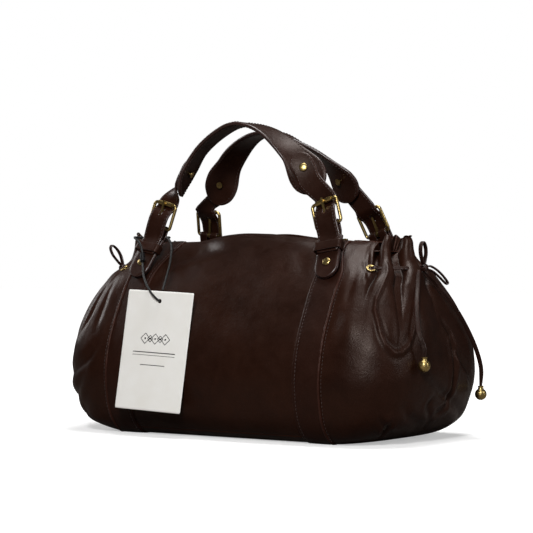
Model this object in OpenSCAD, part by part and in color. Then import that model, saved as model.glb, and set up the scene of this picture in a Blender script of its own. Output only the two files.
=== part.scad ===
// Slouchy leather satchel with drawstring ends and two buckled handles.
// Millimetres. Origin at the middle of the base, on the floor. +X runs along
// the length towards the right end, the front faces -Y and +Z is up.

/* [Body] */
// Distance from the middle to the welted seam between band and gathered end
seam_x = 132; // [126:1:138]
// Width of the vertical reinforcing bands
band_w = 30; // [24:1:34]
// Thickness of the body leather
leather_t = 2; // [1.6:0.1:2.2]
// Drop of the top line from the middle to the ends
top_drop = 9; // [6:1:10]
// Outward swell of the front and rear panels
swell = 3; // [0:1:4]

/* [Handles] */
// Width of the buckle straps
strap_w = 25; // [23:1:26]
// Thickness of the buckle straps
strap_t = 2; // [1.6:0.1:2.2]
// Width of the handle straps between their paddle ends
grip_w = 27; // [22:1:30]
// Width of the paddle ends
paddle_w = 39; // [34:1:41]
// Thickness of the handle straps
grip_t = 4; // [3:0.5:4]

/* [Hardware] */
// Wire radius of the buckle frames
wire_r = 1.7; // [1.5:0.1:1.8]
// Radius of the rivet caps
cap_r = 4.2; // [3.6:0.1:4.6]
// Radius of the cord end beads
bead_r = 6; // [5:0.5:6.5]
// Radius of the drawcords
cord_r = 1.6; // [1.2:0.1:1.8]

/* [Hang tag] */
// Width of the card
tag_w = 80; // [70:1:84]
// Height of the card
tag_h = 122; // [110:1:124]

/* [Hidden] */
$fn = 48;
brown = [0.17, 0.09, 0.07];
dark = [0.12, 0.065, 0.05];
brass = [0.62, 0.5, 0.25];

// "side" arguments take left or right (along X), "face" ones front or rear (along Y)
left = -1;
right = 1;
front = -1;
rear = 1;

// Body profile from base to top: [height, half depth, reach of the end beyond
// the seam, squareness of the end in plan]
PROFILE = [
  [0, 70, 3, 2.6], [1.4, 79, 24, 2.6], [7.5, 89, 47, 2.7], [22, 99, 67, 2.8],
  [42, 104.5, 76, 3], [66, 106, 82, 3], [97, 100, 79, 3], [126, 88, 71, 2.8],
  [157, 72, 58, 2.2], [178, 57, 50, 1.6], [192, 44, 51, 1.4], [203, 32, 52, 1.35],
  [208, 22, 50, 1.35]];
last_row = len(PROFILE) - 1;
top_z = PROFILE[last_row][0];
floor_half_y = PROFILE[0][1];

// ---- general helpers
function smooth(t) = let (c = min(1, max(0, t))) c * c * (3 - 2 * c);
function mix(a, b, t) = a + (b - a) * t;
function unit(v) = v / max(1e-9, norm(v));

// Catmull-Rom curve through the points, t from 0 to 1
function spline(points, t) =
  let (n = len(points) - 1, s = min(n - 1e-6, max(0, t * n)), i = floor(s), f = s - i,
    a = points[max(0, i - 1)], b = points[i], c = points[i + 1], d = points[min(n, i + 2)])
  0.5 * (2 * b + (c - a) * f + (2 * a - 5 * b + 4 * c - d) * f * f
    + (3 * b - a - 3 * c + d) * f * f * f);

// Six points round a centre, square to the unit tangent
function round_ring(centre, tangent, ref, radius) =
  let (u = unit(cross(tangent, ref)), v = cross(tangent, u))
  [for (a = [0:60:300]) centre + radius * (u * cos(a) + v * sin(a))];
// Rectangle about a centre, from its two half-size vectors
function flat_ring(centre, across, through) = [
  centre - across - through, centre + across - through,
  centre + across + through, centre - across + through];
// Half width of a rounded strap end at a distance from its tip
function round_end(distance, radius, least) =
  max(least, sqrt(max(0, radius * radius - pow(radius - distance, 2))));

// Two triangles of a four-sided face, and faces turned over on demand
function quad(a, b, c, d) = [[a, b, c], [a, c, d]];
function turned(faces, flip) = flip ? [for (f = faces) [f[2], f[1], f[0]]] : faces;

// Closed sheet between two grids of points, layers = [outer, inner]
module sheet(layers) {
  outer = layers[0];
  rows = len(outer);
  cols = len(outer[0]);
  inner = rows * cols; // index of the first inner point
  top = inner - cols;
  faces = concat(
    [for (i = [0:rows - 2], j = [0:cols - 2])
      let (a = i * cols + j, b = a + 1, d = a + cols, c = d + 1)
      each concat(quad(a, b, c, d), quad(inner + a, inner + d, inner + c, inner + b))],
    [for (i = [0:rows - 2]) let (a = i * cols, b = a + cols, c = b - 1, d = c + cols)
      each concat(quad(a, b, inner + b, inner + a), quad(c, inner + c, inner + d, d))],
    [for (j = [0:cols - 2]) let (a = top + j)
      each concat(quad(j, inner + j, inner + j + 1, j + 1),
        quad(a, a + 1, inner + a + 1, inner + a))]);
  // Compare a face near the middle with the direction of the inner layer
  m = floor(rows / 2);
  k = floor((cols - 1) / 2);
  probe = outer[m][k];
  flip = cross(outer[m][k + 1] - probe, outer[m - 1][k] - probe) * (layers[1][m][k] - probe) > 0;
  polyhedron([for (layer = layers, line = layer) each line], turned(faces, flip));
}

// Closed solid through rings of equal length
module loft(rings) {
  n = len(rings);
  k = len(rings[0]);
  last = (n - 1) * k;
  faces = concat(
    [for (i = [0:n - 2], j = [0:k - 1]) let (a = i * k + j, b = i * k + (j + 1) % k)
      each quad(a, b, b + k, a + k)],
    [for (j = [1:k - 2]) [0, j + 1, j]],
    [for (j = [1:k - 2]) [last, last + j, last + j + 1]]);
  m = floor(n / 2);
  ring = rings[m];
  mean = [for (i = [0:2]) [for (p = ring) p[i]] * [for (p = ring) 1] / k];
  flip = cross(ring[1] - ring[0], ring[0] - rings[m - 1][0]) * (ring[0] - mean) > 0;
  polyhedron([for (r = rings) each r], turned(faces, flip));
}

// Round cord along a smooth path; ref sets how its rings are turned
module cord(path, radius, steps, ref) {
  n = (len(path) - 1) * steps;
  loft([for (i = [0:n]) let (t = i / n,
    tangent = unit(spline(path, min(1, t + 0.3 / n)) - spline(path, max(0, t - 0.3 / n))))
    round_ring(spline(path, t), tangent, ref, radius)]);
}

// Children moved into the frame of three axes and an origin
module in_frame(x_axis, y_axis, z_axis, origin) {
  multmatrix([for (i = [0:2]) [x_axis[i], y_axis[i], z_axis[i], origin[i]]]) children();
}
module y_rod(radius, length) {
  rotate([90, 0, 0]) cylinder(r = radius, h = length, center = true);
}

// ---- body shells
seam_gap = 0.25;    // clearance on each side of a seam
gather_shift = 16;  // how far the seam moves inwards at the top
band_narrowing = 6; // how much narrower the band gets at the top

function profile(t) = spline(PROFILE, t);
function gather(z) = smooth((z - 165) / 40);
// X of the welted seam and of the inner edge of the band at height z
function seam_at(z) = seam_x - gather_shift * gather(z);
function band_edge(z) = seam_at(z) - band_w + band_narrowing * gather(z);
// Height after the top line's drop, and an estimate of the height before it
function sag(x, z) = z - top_drop * smooth(abs(x) / 118) * pow(max(0, z) / top_z, 5);
function unsag(z) = z + top_drop * pow((z + top_drop * pow(z / top_z, 5)) / top_z, 5);

// Profile moved in square to itself: [half depth, height]
function section(t, inset) =
  let (a = profile(t), dt = 0.004, p = profile(max(0, t - dt)), q = profile(min(1, t + dt)),
    n = unit([q[0] - p[0], p[1] - q[1]]))
  [a[1] - inset * n[0], a[0] - inset * n[1]];
// Point on the front wall between the seams
function wall(x, t, inset) = let (s = section(t, inset))
  [x, -s[0] - swell * (1 - pow(x / seam_x, 2)) * pow(sin(180 * t), 2), sag(x, s[1])];

// Point on the right gathered end; b is the direction in plan, -90 front,
// 0 tip, 90 rear
function end_point(b, t) =
  let (a = profile(t), n = a[3],
    r = 1 / pow(pow(abs(cos(b)), n) + pow(abs(sin(b)), n), 1 / n),
    x = seam_at(a[0]) + 0.4 + a[2] * r * cos(b))
  [x, a[1] * r * sin(b), sag(x, a[0])];
function end_normal(b, t) =
  let (b1 = max(-90, b - 1), b2 = min(90, b + 1), t1 = max(0, t - 0.005), t2 = min(1, t + 0.005))
  unit(cross(end_point(b2, t) - end_point(b1, t), end_point(b, t2) - end_point(b, t1)));
function end_inset(b, t, inset) = end_point(b, t) - inset * end_normal(b, t);

module wall_panel(face) {
  foot_t = 2.1 / last_row;
  sheet([for (inset = [0, leather_t]) [for (i = [0:8]) [for (j = [0:20])
    let (t = mix(foot_t, 1, j / 20), z = wall(1, t, inset).z,
      p = wall(mix(-1, 1, i / 8) * (band_edge(z) - seam_gap), t, inset))
    [p.x, -face * p.y, p.z]]]]);
}
module front_panel() { color(brown) wall_panel(front); }
module rear_panel() { color(brown) wall_panel(rear); }

// X at height z, at a share of the way across the right band or the middle
function strip_x(z, share, is_band) =
  mix((is_band ? band_edge(z) : -band_edge(z)) + seam_gap,
    (is_band ? seam_at(z) : band_edge(z)) - seam_gap, share);
// Line down the front from profile parameter t_end, across the floor and up the rear
function across_base(share, t_end, inset, steps, is_band) =
  let (climb = [for (j = [0:steps]) let (t = t_end * j / steps)
    wall(strip_x(section(t, inset)[1], share, is_band), t, inset)])
  concat([for (j = [steps:-1:0]) climb[j]],
    [for (j = [1:5]) [strip_x(0, share, is_band), mix(-floor_half_y, floor_half_y, j / 6), inset]],
    [for (p = climb) [p.x, -p.y, p.z]]);

module base_panel() {
  color(brown) sheet([for (inset = [0, leather_t]) [for (i = [0:8])
    across_base(i / 8, 2 / last_row, inset, 4, false)]]);
}
module body_band(side) {
  color(dark) sheet([for (inset = [0, leather_t]) [for (i = [0:3])
    [for (p = across_base(i / 3, 1, inset, 20, true)) [side * p.x, p.y, p.z]]]]);
}
module left_body_band() { body_band(left); }
module right_body_band() { body_band(right); }

module end_panel(side) {
  outer = [for (i = [0:20]) [for (j = [0:32]) let (p = end_point(-90 + 180 / 32 * j, i / 20))
    [side * p.x, p.y, p.z]]];
  // The inner layer is kept clear of the band
  inner = [for (i = [0:20]) [for (j = [0:32])
    let (p = end_inset(-90 + 180 / 32 * j, i / 20, leather_t))
    [side * max(p.x, seam_at(unsag(p.z)) + 0.5), p.y, p.z]]];
  color(brown) difference() {
    sheet([outer, inner]);
    for (face = [front, rear]) at_eyelet(side, face) translate([0, 0, -5]) cylinder(r = 3.9, h = 10);
  }
}
module left_end_panel() { end_panel(left); }
module right_end_panel() { end_panel(right); }

// Raised welts that cover the four seams between bands and ends
module seam_welts() {
  line = [for (i = [0:24]) let (t = mix(0.09, 0.93, i / 24), n = end_normal(-84, t))
    end_point(-90, t) + [-0.2, 0, 0] + [0, n.y, n.z] * 1.25];
  color(dark) for (side = [left, right], face = [front, rear])
    loft([for (i = [0:24])
      let (tangent = unit(line[min(24, i + 1)] - line[max(0, i - 1)]))
      [for (p = round_ring(line[i], tangent, [1, 0, 0], 1)) [side * p.x, -face * p.y, p.z]]]);
}

// Fabric lining: a cup that follows the shells inside
module lining() {
  function lining_ring(t, inset) =
    let (half = concat([for (x = [-100:40:100]) wall(x, t, inset)],
      [for (b = [-80:10:80]) end_inset(b, t, inset + 0.9)]))
    concat(half, [for (p = half) [-p.x, -p.y, p.z]]);
  // A rise above 0 carries the top ring straight up by that much
  module cup(inset, rise) {
    rings = [for (i = [1:11]) lining_ring(mix(0.04, 0.8, i / 11), inset)];
    loft(concat([[for (p = rings[0]) [p.x * 0.93, p.y * 0.92, inset]]], rings,
      rise == 0 ? [] : [[for (p = rings[10]) [p.x, p.y, p.z + rise]]]));
  }
  color([0.22, 0.17, 0.13]) difference() {
    cup(leather_t + 1, 0);
    cup(leather_t + 2, 4);
  }
}

// ---- closure
zip_z = 196.6;
zip_half = 108;
facing_half = 158;  // half length of the leather facings
facing_t = 1.4;
facing_end_z = 189; // height of the facings in the gathers
slider_at = [97, 0, zip_z];
pin_at = [-2.3, 0, 3.9]; // pull's pin, from the middle of the slider

// 0 along the zip, 1 where the facing has closed into the gathers
function closing(x) = smooth((abs(x) - 109) / 9);
// Distance of the facing's outer edge from the middle plane
function facing_edge(x) =
  let (a = profile(0.86), q = min(0.96, max(0, (abs(x) - seam_at(a[0])) / a[2])),
    gathered = a[1] * pow(1 - pow(q, a[3]), 1 / a[3]) - 4.2)
  max(1.6, mix(20.6, min(24, gathered), closing(x)));
// Leather facing between the top edge and the zip
module zip_facing(face) {
  color(brown) sheet([for (h = [0, facing_t]) [for (i = [0:56])
    let (x = mix(-facing_half, facing_half, i / 56), k = closing(x),
      outer_y = facing_edge(x), outer_z = mix(sag(x, 207) - 1.6, facing_end_z, k),
      inner_y = mix(6.2, 0.3, k), inner_z = mix(zip_z + 2.6, facing_end_z, k))
    [for (j = [0:3])
      [x, face * mix(outer_y, inner_y, j / 3), mix(outer_z, inner_z, j / 3) - h]]]]);
}
module front_zip_facing() { zip_facing(front); }
module rear_zip_facing() { zip_facing(rear); }

// Bar level with the zip, from x_start on and a gap away from the middle plane
module zip_bar(face, x_start, gap, size) {
  translate([x_start, face == rear ? gap : -gap - size.y, zip_z - size.z / 2]) cube(size);
}
module zip_tapes() {
  color([0.1, 0.07, 0.06]) for (face = [front, rear])
    zip_bar(face, 8 - zip_half, 2.8, [2 * zip_half - 16, 8.3, 0.8]);
}
// Two rows of staggered teeth, each on a spine
module zip_teeth() {
  pitch = 5.2;
  color(brass) for (face = [front, rear]) {
    zip_bar(face, 4 - zip_half, 1.5, [2 * zip_half - 8, 1.2, 1]);
    for (i = [0:38])
      zip_bar(face, 5 - zip_half + i * pitch + (face == rear ? 0 : 2.5), 0.6, [1.9, 1.6, 2]);
  }
}
module zip_end_stops() {
  color(brass) for (side = [left, right])
    translate([side * (zip_half - 2) - 1.5, -2.6, zip_z - 1.4]) cube([3, 5.2, 2.8]);
}
// Two plates joined by a wedge, with lugs and a pin for the pull on top
module zip_slider() {
  color(brass) translate(slider_at) union() {
    for (z = [1.3, -2.3]) translate([-6, -4, z]) cube([12, 8, 1]);
    translate([1, -0.4, -1.5]) cube([4.6, 0.8, 3]);
    for (y = [-2.1, 2.1]) translate([-4, y - 0.6, 2.2]) cube([3.4, 1.2, 3]);
    translate(pin_at) y_rod(0.8, 4);
  }
}
module zip_pull() {
  plate_w = 7;
  plate_t = 1.2;
  color(brass) translate(slider_at + pin_at) difference() {
    union() {
      y_rod(1.5, 2);
      translate([-9, -1, -plate_t / 2]) cube([8, 2, plate_t]);
      translate([-34, -plate_w / 2, -plate_t / 2]) cube([26, plate_w, plate_t]);
      translate([-34, 0, -plate_t / 2]) cylinder(r = plate_w / 2, h = plate_t);
    }
    y_rod(0.85, 4);
    translate([-31, 0, -1]) cylinder(r = 1.6, h = 3);
  }
}

// ---- anchor tabs and tails
// The straps flex where they leave the body; the gap there is the hinge line.
hinge_gap = 2.2;      // clearance above and below the hinge line
rivet_hole_r = 1.6;
tab_rivet_z = -31.5;  // tab rivet in the tab's frame
tab_r = 13.2;         // half width and end radius of the tab

function hinge(side, face) =
  [side * 111 - 1.6, face == front ? -48 : 49, face == front ? 204 : 197];
// Lean of tab and buckle towards the middle plane, and sideways tilt of the buckle
function tab_lean(face) = face == front ? 31 : 32.8;
function buckle_lean(face) = face == front ? 10 : 13;
function buckle_tilt(side, face) = side == right ? 20.4 : face == front ? -13.6 : -5;

// Frame on the hinge line: z up the strap, -y outwards
module at_hinge(side, face, lean, tilt) {
  p = hinge(side, face);
  translate([p.x, 0, p.z]) mirror([0, face == rear ? 1 : 0, 0]) translate([0, -abs(p.y), 0])
    rotate([-lean, 0, 0]) rotate([0, -tilt, 0]) children();
}
module at_tab(side, face) { at_hinge(side, face, tab_lean(face), 10 * side) children(); }
module at_buckle(side, face) {
  at_hinge(side, face, buckle_lean(face), buckle_tilt(side, face)) children();
}
// Blocks that cut a part off just below or just above the hinge line
module below_hinge(side, face) {
  translate([-200, -200, 0]) cube([400, 400, hinge(side, face).z - hinge_gap]);
}
module above_hinge(side, face, height) {
  translate([-200, -200, hinge(side, face).z + hinge_gap]) cube([400, 400, height]);
}

// Flat strip with a round lower end
module rounded_strip(radius, centre_y, length) {
  union() {
    translate([0, centre_y]) circle(r = radius);
    translate([-radius, centre_y]) square([2 * radius, length]);
  }
}
// Anchor tabs on the bands, with a hole and an inner recess for the rivet
module anchor_tabs(face) {
  color(dark) for (side = [left, right]) difference() {
    intersection() {
      at_tab(side, face) rotate([90, 0, 0]) translate([0, 0, face == front ? -2.2 : -1.6])
        linear_extrude(face == front ? 4.2 : 3.6) rounded_strip(tab_r, -36, 40);
      below_hinge(side, face);
    }
    at_tab(side, face) translate([0, 0, tab_rivet_z]) y_rod(rivet_hole_r, 20);
    at_tab(side, face) translate([0, 5.4, tab_rivet_z]) rotate([90, 0, 0]) cylinder(r = 3.6, h = 5);
  }
}
module front_anchor_tabs() { anchor_tabs(front); }
module rear_anchor_tabs() { anchor_tabs(rear); }

// Keeper: closed leather loop round the tab and the strap tail
module keeper_loops() {
  color(dark) for (side = [left, right], face = [front, rear])
    at_tab(side, face) translate([0, 0, -19]) difference() {
      translate([-15.4, -7.2, 0]) cube([30.8, 11.2, 9.5]);
      translate([-13.8, -5.6, -1]) cube([27.6, 8.2, 12]);
    }
}
// Free end of each buckle strap, tucked under its keeper
module strap_tails() {
  color(brown) for (side = [left, right], face = [front, rear]) intersection() {
    at_tab(side, face) translate([0, -2.5 - strap_t, 0]) rotate([90, 0, 0])
      translate([0, 0, -strap_t]) linear_extrude(strap_t) rounded_strip(strap_w / 2, -14, 20);
    below_hinge(side, face);
  }
}

// Rivet with its domed cap facing -y; the cap starts "out" from the origin
module rivet(shank, out) {
  rotate([90, 0, 0]) translate([0, 0, out]) union() {
    rotate_extrude() polygon(concat([[0, 0], [cap_r, 0]],
      [for (a = [0:15:90]) [cap_r * cos(a), 0.5 + 1.1 * sin(a)]]));
    translate([0, 0, -shank]) cylinder(r = 1.5, h = shank + 0.2);
    translate([0, 0, -shank - 1]) cylinder(r = 3.4, h = 1);
  }
}
module tab_rivets() {
  color(brass) for (side = [left, right], face = [front, rear])
    at_tab(side, face) translate([0, 0, tab_rivet_z]) rivet(2.6, 2.1);
}

// ---- buckles
heel_z = 11;        // heel bar above the hinge line
bar_gap = 26.5;     // heel bar to top bar
frame_half = 14.6;  // middle to the centre of each arm
corner_r = 3.4;
roller_r = 2.6;
prong_w = 2.4;
prong_t = 1.9;
prong_angle = atan((roller_r + 1.15) / bar_gap);

// Chape: leather loop that holds the buckle's heel bar, slotted for the prong
module chapes(face) {
  loop_r = 3.4;
  width = 22;
  color(dark) for (side = [left, right]) intersection() {
    at_buckle(side, face) difference() {
      union() {
        translate([-width / 2, 0, heel_z]) rotate([0, 90, 0]) cylinder(r = loop_r, h = width);
        translate([-width / 2, -loop_r, -6]) cube([width, 2 * loop_r, heel_z + 6]);
      }
      translate([-20, 0, heel_z]) rotate([0, 90, 0]) cylinder(r = wire_r + 0.1, h = 40);
      translate([-2.4, -5, heel_z - 5]) cube([4.8, 10, 10]);
    }
    above_hinge(side, face, 60);
  }
}
module front_chapes() { chapes(front); }
module rear_chapes() { chapes(rear); }

// Buckle frame: two bars, two arms and four rounded corners
module buckle(side, face) {
  bar_half = frame_half - corner_r;
  color(brass) at_buckle(side, face) translate([0, 0, heel_z]) {
    for (z = [0, bar_gap]) translate([-bar_half, 0, z]) rotate([0, 90, 0])
      cylinder(r = z == 0 ? wire_r : wire_r - 0.2, h = 2 * bar_half);
    for (x = [-frame_half, frame_half]) translate([x, 0, corner_r])
      cylinder(r = wire_r, h = bar_gap - 2 * corner_r);
    for (x = [-1, 1], top = [0, 1])
      translate([x * bar_half, 0, top ? bar_gap - corner_r : corner_r]) rotate([90, 0, 0])
        mirror([x < 0 ? 1 : 0, 0]) mirror([0, top ? 0 : 1])
          rotate_extrude(angle = 90) translate([corner_r, 0]) circle(r = wire_r, $fn = 24);
  }
}
module front_left_buckle() { buckle(left, front); }
module front_right_buckle() { buckle(right, front); }
module rear_left_buckle() { buckle(left, rear); }
module rear_right_buckle() { buckle(right, rear); }

// Roller sleeve on the top bar
module roller(side, face) {
  length = 19.2;
  color(brass) at_buckle(side, face) translate([-length / 2, 0, heel_z + bar_gap])
    rotate([0, 90, 0]) difference() {
      cylinder(r = roller_r, h = length);
      translate([0, 0, -1]) cylinder(r = wire_r - 0.15, h = 22);
    }
}
module front_left_roller() { roller(left, front); }
module front_right_roller() { roller(right, front); }
module rear_left_roller() { roller(left, rear); }
module rear_right_roller() { roller(right, rear); }

// Prong: eye on the heel bar, shank through the strap, tip over the roller
module prong(side, face) {
  color(brass) at_buckle(side, face) translate([0, 0, heel_z]) difference() {
    union() {
      rotate([0, 90, 0]) cylinder(r = wire_r + 1.1, h = 3.2, center = true);
      rotate([prong_angle, 0, 0]) translate([-prong_w / 2, -prong_t / 2, 0.5])
        cube([prong_w, prong_t, bar_gap + 1.6]);
      rotate([prong_angle, 0, 0]) translate([0, prong_t / 2, bar_gap + 2.1])
        rotate([90, 0, 0]) cylinder(r = prong_w / 2, h = prong_t);
    }
    rotate([0, 90, 0]) cylinder(r = wire_r + 0.05, h = 8, center = true);
  }
}
module front_left_prong() { prong(left, front); }
module front_right_prong() { prong(right, front); }
module rear_left_prong() { prong(left, rear); }
module rear_right_prong() { prong(right, rear); }

// ---- handles
// Centre line [x, y, z] of the right half, from paddle end to apex
FRONT_LINE = [
  [86, -32.8, 248], [81, -33.6, 258.5], [73.5, -34.6, 272.5], [62, -35, 287.5],
  [49, -35, 299.5], [33, -34.8, 310.5], [16, -34.6, 318], [0, -34.5, 321]];
REAR_LINE = [
  [88, 31, 241], [83.5, 30, 250.5], [77, 28.5, 262.5], [66, 25, 277.5],
  [52, 20, 291], [35, 15.5, 303], [17, 12, 311.5], [0, 11, 314.5]];
// Twist of the strap at the same stations: 0 lies flat in the arch's plane,
// 90 puts the width across it
TWIST = [
  [58, 68, 77, 83.5, 87, 89, 90, 90], // front left
  [8, 15, 27, 45, 64, 78, 87, 90],    // front right
  [0, 4, 12, 32, 54, 74, 86, 90],     // rear left
  [6, 14, 26, 44, 62, 78, 87, 90]];   // rear right
rivet_s = 0.715; // rivet station on the paddle

// A station s runs from -1 at the left end over 0 at the apex to 1 at the right end.
// The whole arch sways to the left as it rises.
function handle_point(face, s) =
  let (p = spline(face == front ? FRONT_LINE : REAR_LINE, 1 - abs(s)))
  [(s < 0 ? -p.x : p.x) - 0.062 * (p.z - 177), p.y, p.z];
function handle_tangent(face, s) =
  unit(handle_point(face, min(1, s + 0.01)) - handle_point(face, max(-1, s - 0.01)));
// Unit vector across the strap's width
function handle_across(face, s) =
  let (tangent = handle_tangent(face, s),
    twist = spline(TWIST[(face == front ? 0 : 2) + (s < 0 ? 0 : 1)], 1 - abs(s)),
    flat = unit(cross([0, 1, 0], tangent)), upright = unit(cross(tangent, flat)))
  flat * cos(twist) + upright * sin(twist) * face;
// Unit vector square to the strap's broad side
function handle_normal(face, s) =
  unit(cross(handle_tangent(face, s), handle_across(face, s)));
// The same, turned away from the middle plane of the bag
function handle_outward(face, s) =
  let (n = handle_normal(face, s)) n.y * face > 0 ? n : -n;
function handle_half(face, s) =
  let (d = norm(handle_point(face, s) - handle_point(face, s < 0 ? -1 : 1)), r = paddle_w / 2)
  d < r ? round_end(d, r, 1.5) : mix(r, grip_w / 2, smooth((d - r - 2) / 30));

// Rivet frame on a paddle: -y outwards
module at_rivet(side, face) {
  s = side * rivet_s;
  out = handle_outward(face, s);
  u = unit(cross([0, 0, 1], out));
  in_frame(u, -out, cross(out, u), handle_point(face, s)) children();
}
module rivet_hole(side, face, length) {
  at_rivet(side, face) y_rod(rivet_hole_r, length, $fn = 24);
}

module handle(face) {
  // Closer stations round the paddle ends
  stations = concat([for (i = [0:6]) -1 + 0.022 * i],
    [for (i = [0:40]) mix(-0.85, 0.85, i / 40)], [for (i = [6:-1:0]) 1 - 0.022 * i]);
  color(brown) difference() {
    loft([for (s = stations) flat_ring(handle_point(face, s),
      handle_across(face, s) * handle_half(face, s), handle_normal(face, s) * grip_t / 2)]);
    for (side = [left, right]) rivet_hole(side, face, 20);
  }
}
module front_handle() { handle(front); }
module rear_handle() { handle(rear); }

module handle_rivets(face) {
  color(brass) for (side = [left, right]) at_rivet(side, face) rivet(9.8, 5.4);
}
module front_handle_rivets() { handle_rivets(front); }
module rear_handle_rivets() { handle_rivets(rear); }

// ---- buckle straps
// Path past the buckle in its frame: [z, y]
STRAP_PATH = [[-3, -4.9], [4, -4.9], [11, -4.9], [17, -4.9], [23, -4.4], [28.5, -2],
  [33, 1.8], [38, 4.5], [43, 4.3]];

function turn_x(v, a) = [v.x, v.y * cos(a) - v.z * sin(a), v.y * sin(a) + v.z * cos(a)];
function turn_y(v, a) = [v.x * cos(a) + v.z * sin(a), v.y, v.z * cos(a) - v.x * sin(a)];
// Vector in the buckle's frame brought into the bag's
function buckle_vector(side, face, v) =
  let (q = turn_x(turn_y(v, -buckle_tilt(side, face)), -buckle_lean(face)))
  [q.x, -face * q.y, q.z];
// Strap on the handle's outer side: centre and width direction in one list
function strap_station(side, face, s, lift) =
  let (q = side * s)
  concat(handle_point(face, q) + handle_outward(face, q) * (grip_t / 2 + strap_t / 2 + lift),
    handle_across(face, q) * -side);

// From the hinge line over the heel bar, under the roller and up to the
// paddle, rounded at the top end
module buckle_strap(side, face) {
  high = side == left && face == front;
  width_dir = buckle_vector(side, face, [1, 0, 0]);
  // Stations on the handle: [s, lift off the handle]
  on_handle = [[0.86, high ? 3 : 1.9], [0.78, high ? 1.8 : 1.25], [rivet_s, 0.95],
    [0.65, 1.05], [0.59, 1.15]];
  stations = concat(
    [for (v = STRAP_PATH)
      concat(hinge(side, face) + buckle_vector(side, face, [0, v[1], v[0]]), width_dir)],
    [for (v = on_handle) strap_station(side, face, v[0], v[1])]);
  n = 52;
  half = strap_w / 2;
  path = [for (i = [0:n]) spline(stations, i / n)];
  line = [for (p = path) [p[0], p[1], p[2]]];
  difference() {
    intersection() {
      loft([for (i = [0:n])
        let (across = unit([path[i][3], path[i][4], path[i][5]]),
          tangent = unit(line[min(n, i + 1)] - line[max(0, i - 1)]),
          d = norm(line[i] - line[n]))
        flat_ring(line[i], across * (d < half ? round_end(d, half, 2) : half),
          unit(cross(tangent, across)) * strap_t / 2)]);
      above_hinge(side, face, 200);
    }
    // Slot for the prong
    at_buckle(side, face) translate([-1.9, -9, heel_z + 7.5]) cube([3.8, 18, 17.5]);
    rivet_hole(side, face, 24);
  }
}
module front_buckle_straps() { color(brown) for (side = [left, right]) buckle_strap(side, front); }
module rear_buckle_straps() { color(brown) for (side = [left, right]) buckle_strap(side, rear); }

// ---- drawstring ends
cord_level = 0.735; // profile parameter at the drawcord
eyelet_b = 58;      // plan direction of the eyelets
knot_at = [191.5, -7, 172.5];

// Frame on an eyelet: z out of the leather
module at_eyelet(side, face) {
  n = end_normal(face * eyelet_b, cord_level);
  u = unit(cross([0, 0, 1], n));
  mirror([side == left ? 1 : 0, 0, 0])
    in_frame(u, cross(n, u), n, end_point(face * eyelet_b, cord_level)) children();
}
module eyelets(side) {
  color(brass) for (face = [front, rear]) at_eyelet(side, face) {
    rotate_extrude() translate([4.3, 0.9]) circle(r = 0.8, $fn = 24);
    translate([0, 0, -2.6]) difference() {
      cylinder(r = 3.7, h = 3.6);
      translate([0, 0, -1]) cylinder(r = 3.1, h = 6);
    }
  }
}
module left_eyelets() { eyelets(left); }
module right_eyelets() { eyelets(right); }

// The cord round the end, its knot and the two loops of the bow
module drawcord(side) {
  color(dark) mirror([side == left ? 1 : 0, 0, 0]) {
    cord([for (b = [-eyelet_b, -50, -40, -28, -14, 0, 14, 28, 40, 50, eyelet_b])
      end_inset(b, cord_level, abs(b) > 54 ? -3.9 : -4)], cord_r, 3, [0.1, 0.1, 1]);
    translate(knot_at) sphere(r = 4.4);
    for (offset = [[0, 0, 12.5], [2, 12.6, -1]])
      translate(knot_at + offset) rotate([0, 90, 0])
        rotate_extrude() translate([6, 0]) circle(r = cord_r, $fn = 24);
  }
}
module left_drawcord() { drawcord(left); }
module right_drawcord() { drawcord(right); }

// Paths [x, y, z] of the cord tails, from the knot down to the bead
LEFT_FRONT_TAIL = [[-190, -12, 165], [-196, -15, 152], [-204.5, -18, 135], [-214, -20, 112],
  [-221.5, -20, 97], [-222.5, -20, 89]];
LEFT_REAR_TAIL = [[-191, -2, 165], [-198, 8, 152], [-207, 22, 132], [-215, 38, 106],
  [-220.5, 46, 78], [-221, 46, 62]];
RIGHT_FRONT_TAIL = [[189.5, -14.5, 166], [194, -24, 153], [202.5, -40, 135], [212, -53, 112],
  [218, -53, 96], [218.5, -53, 86.5]];
RIGHT_REAR_TAIL = [[190.5, -1, 165], [196, 14, 152], [205.5, 33, 130], [214, 50, 100],
  [218, 60, 74], [216.5, 63, 53]];

module cord_tail(path) { color(dark) cord(path, cord_r, 5, [0.1, 1, 0.1]); }
module left_front_cord_tail() { cord_tail(LEFT_FRONT_TAIL); }
module left_rear_cord_tail() { cord_tail(LEFT_REAR_TAIL); }
module right_front_cord_tail() { cord_tail(RIGHT_FRONT_TAIL); }
module right_rear_cord_tail() { cord_tail(RIGHT_REAR_TAIL); }

// Bead with a neck and a blind bore for the cord
module bead(path) {
  color(brass) translate(path[len(path) - 1] - [0, 0, 8.2]) difference() {
    rotate_extrude() polygon(concat([[0, -bead_r]],
      [for (a = [-75:15:60]) [bead_r * cos(a), bead_r * sin(a)]],
      [[2.7, 6.6], [2.9, 8.4], [0, 8.4]]));
    translate([0, 0, 2]) cylinder(r = cord_r + 0.25, h = 10);
  }
}
module left_front_bead() { bead(LEFT_FRONT_TAIL); }
module left_rear_bead() { bead(LEFT_REAR_TAIL); }
module right_front_bead() { bead(RIGHT_FRONT_TAIL); }
module right_rear_bead() { bead(RIGHT_REAR_TAIL); }

// ---- hang tag
TAG_HOLE = [-64, -102.4, 138];
tag_t = 0.8;
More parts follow.
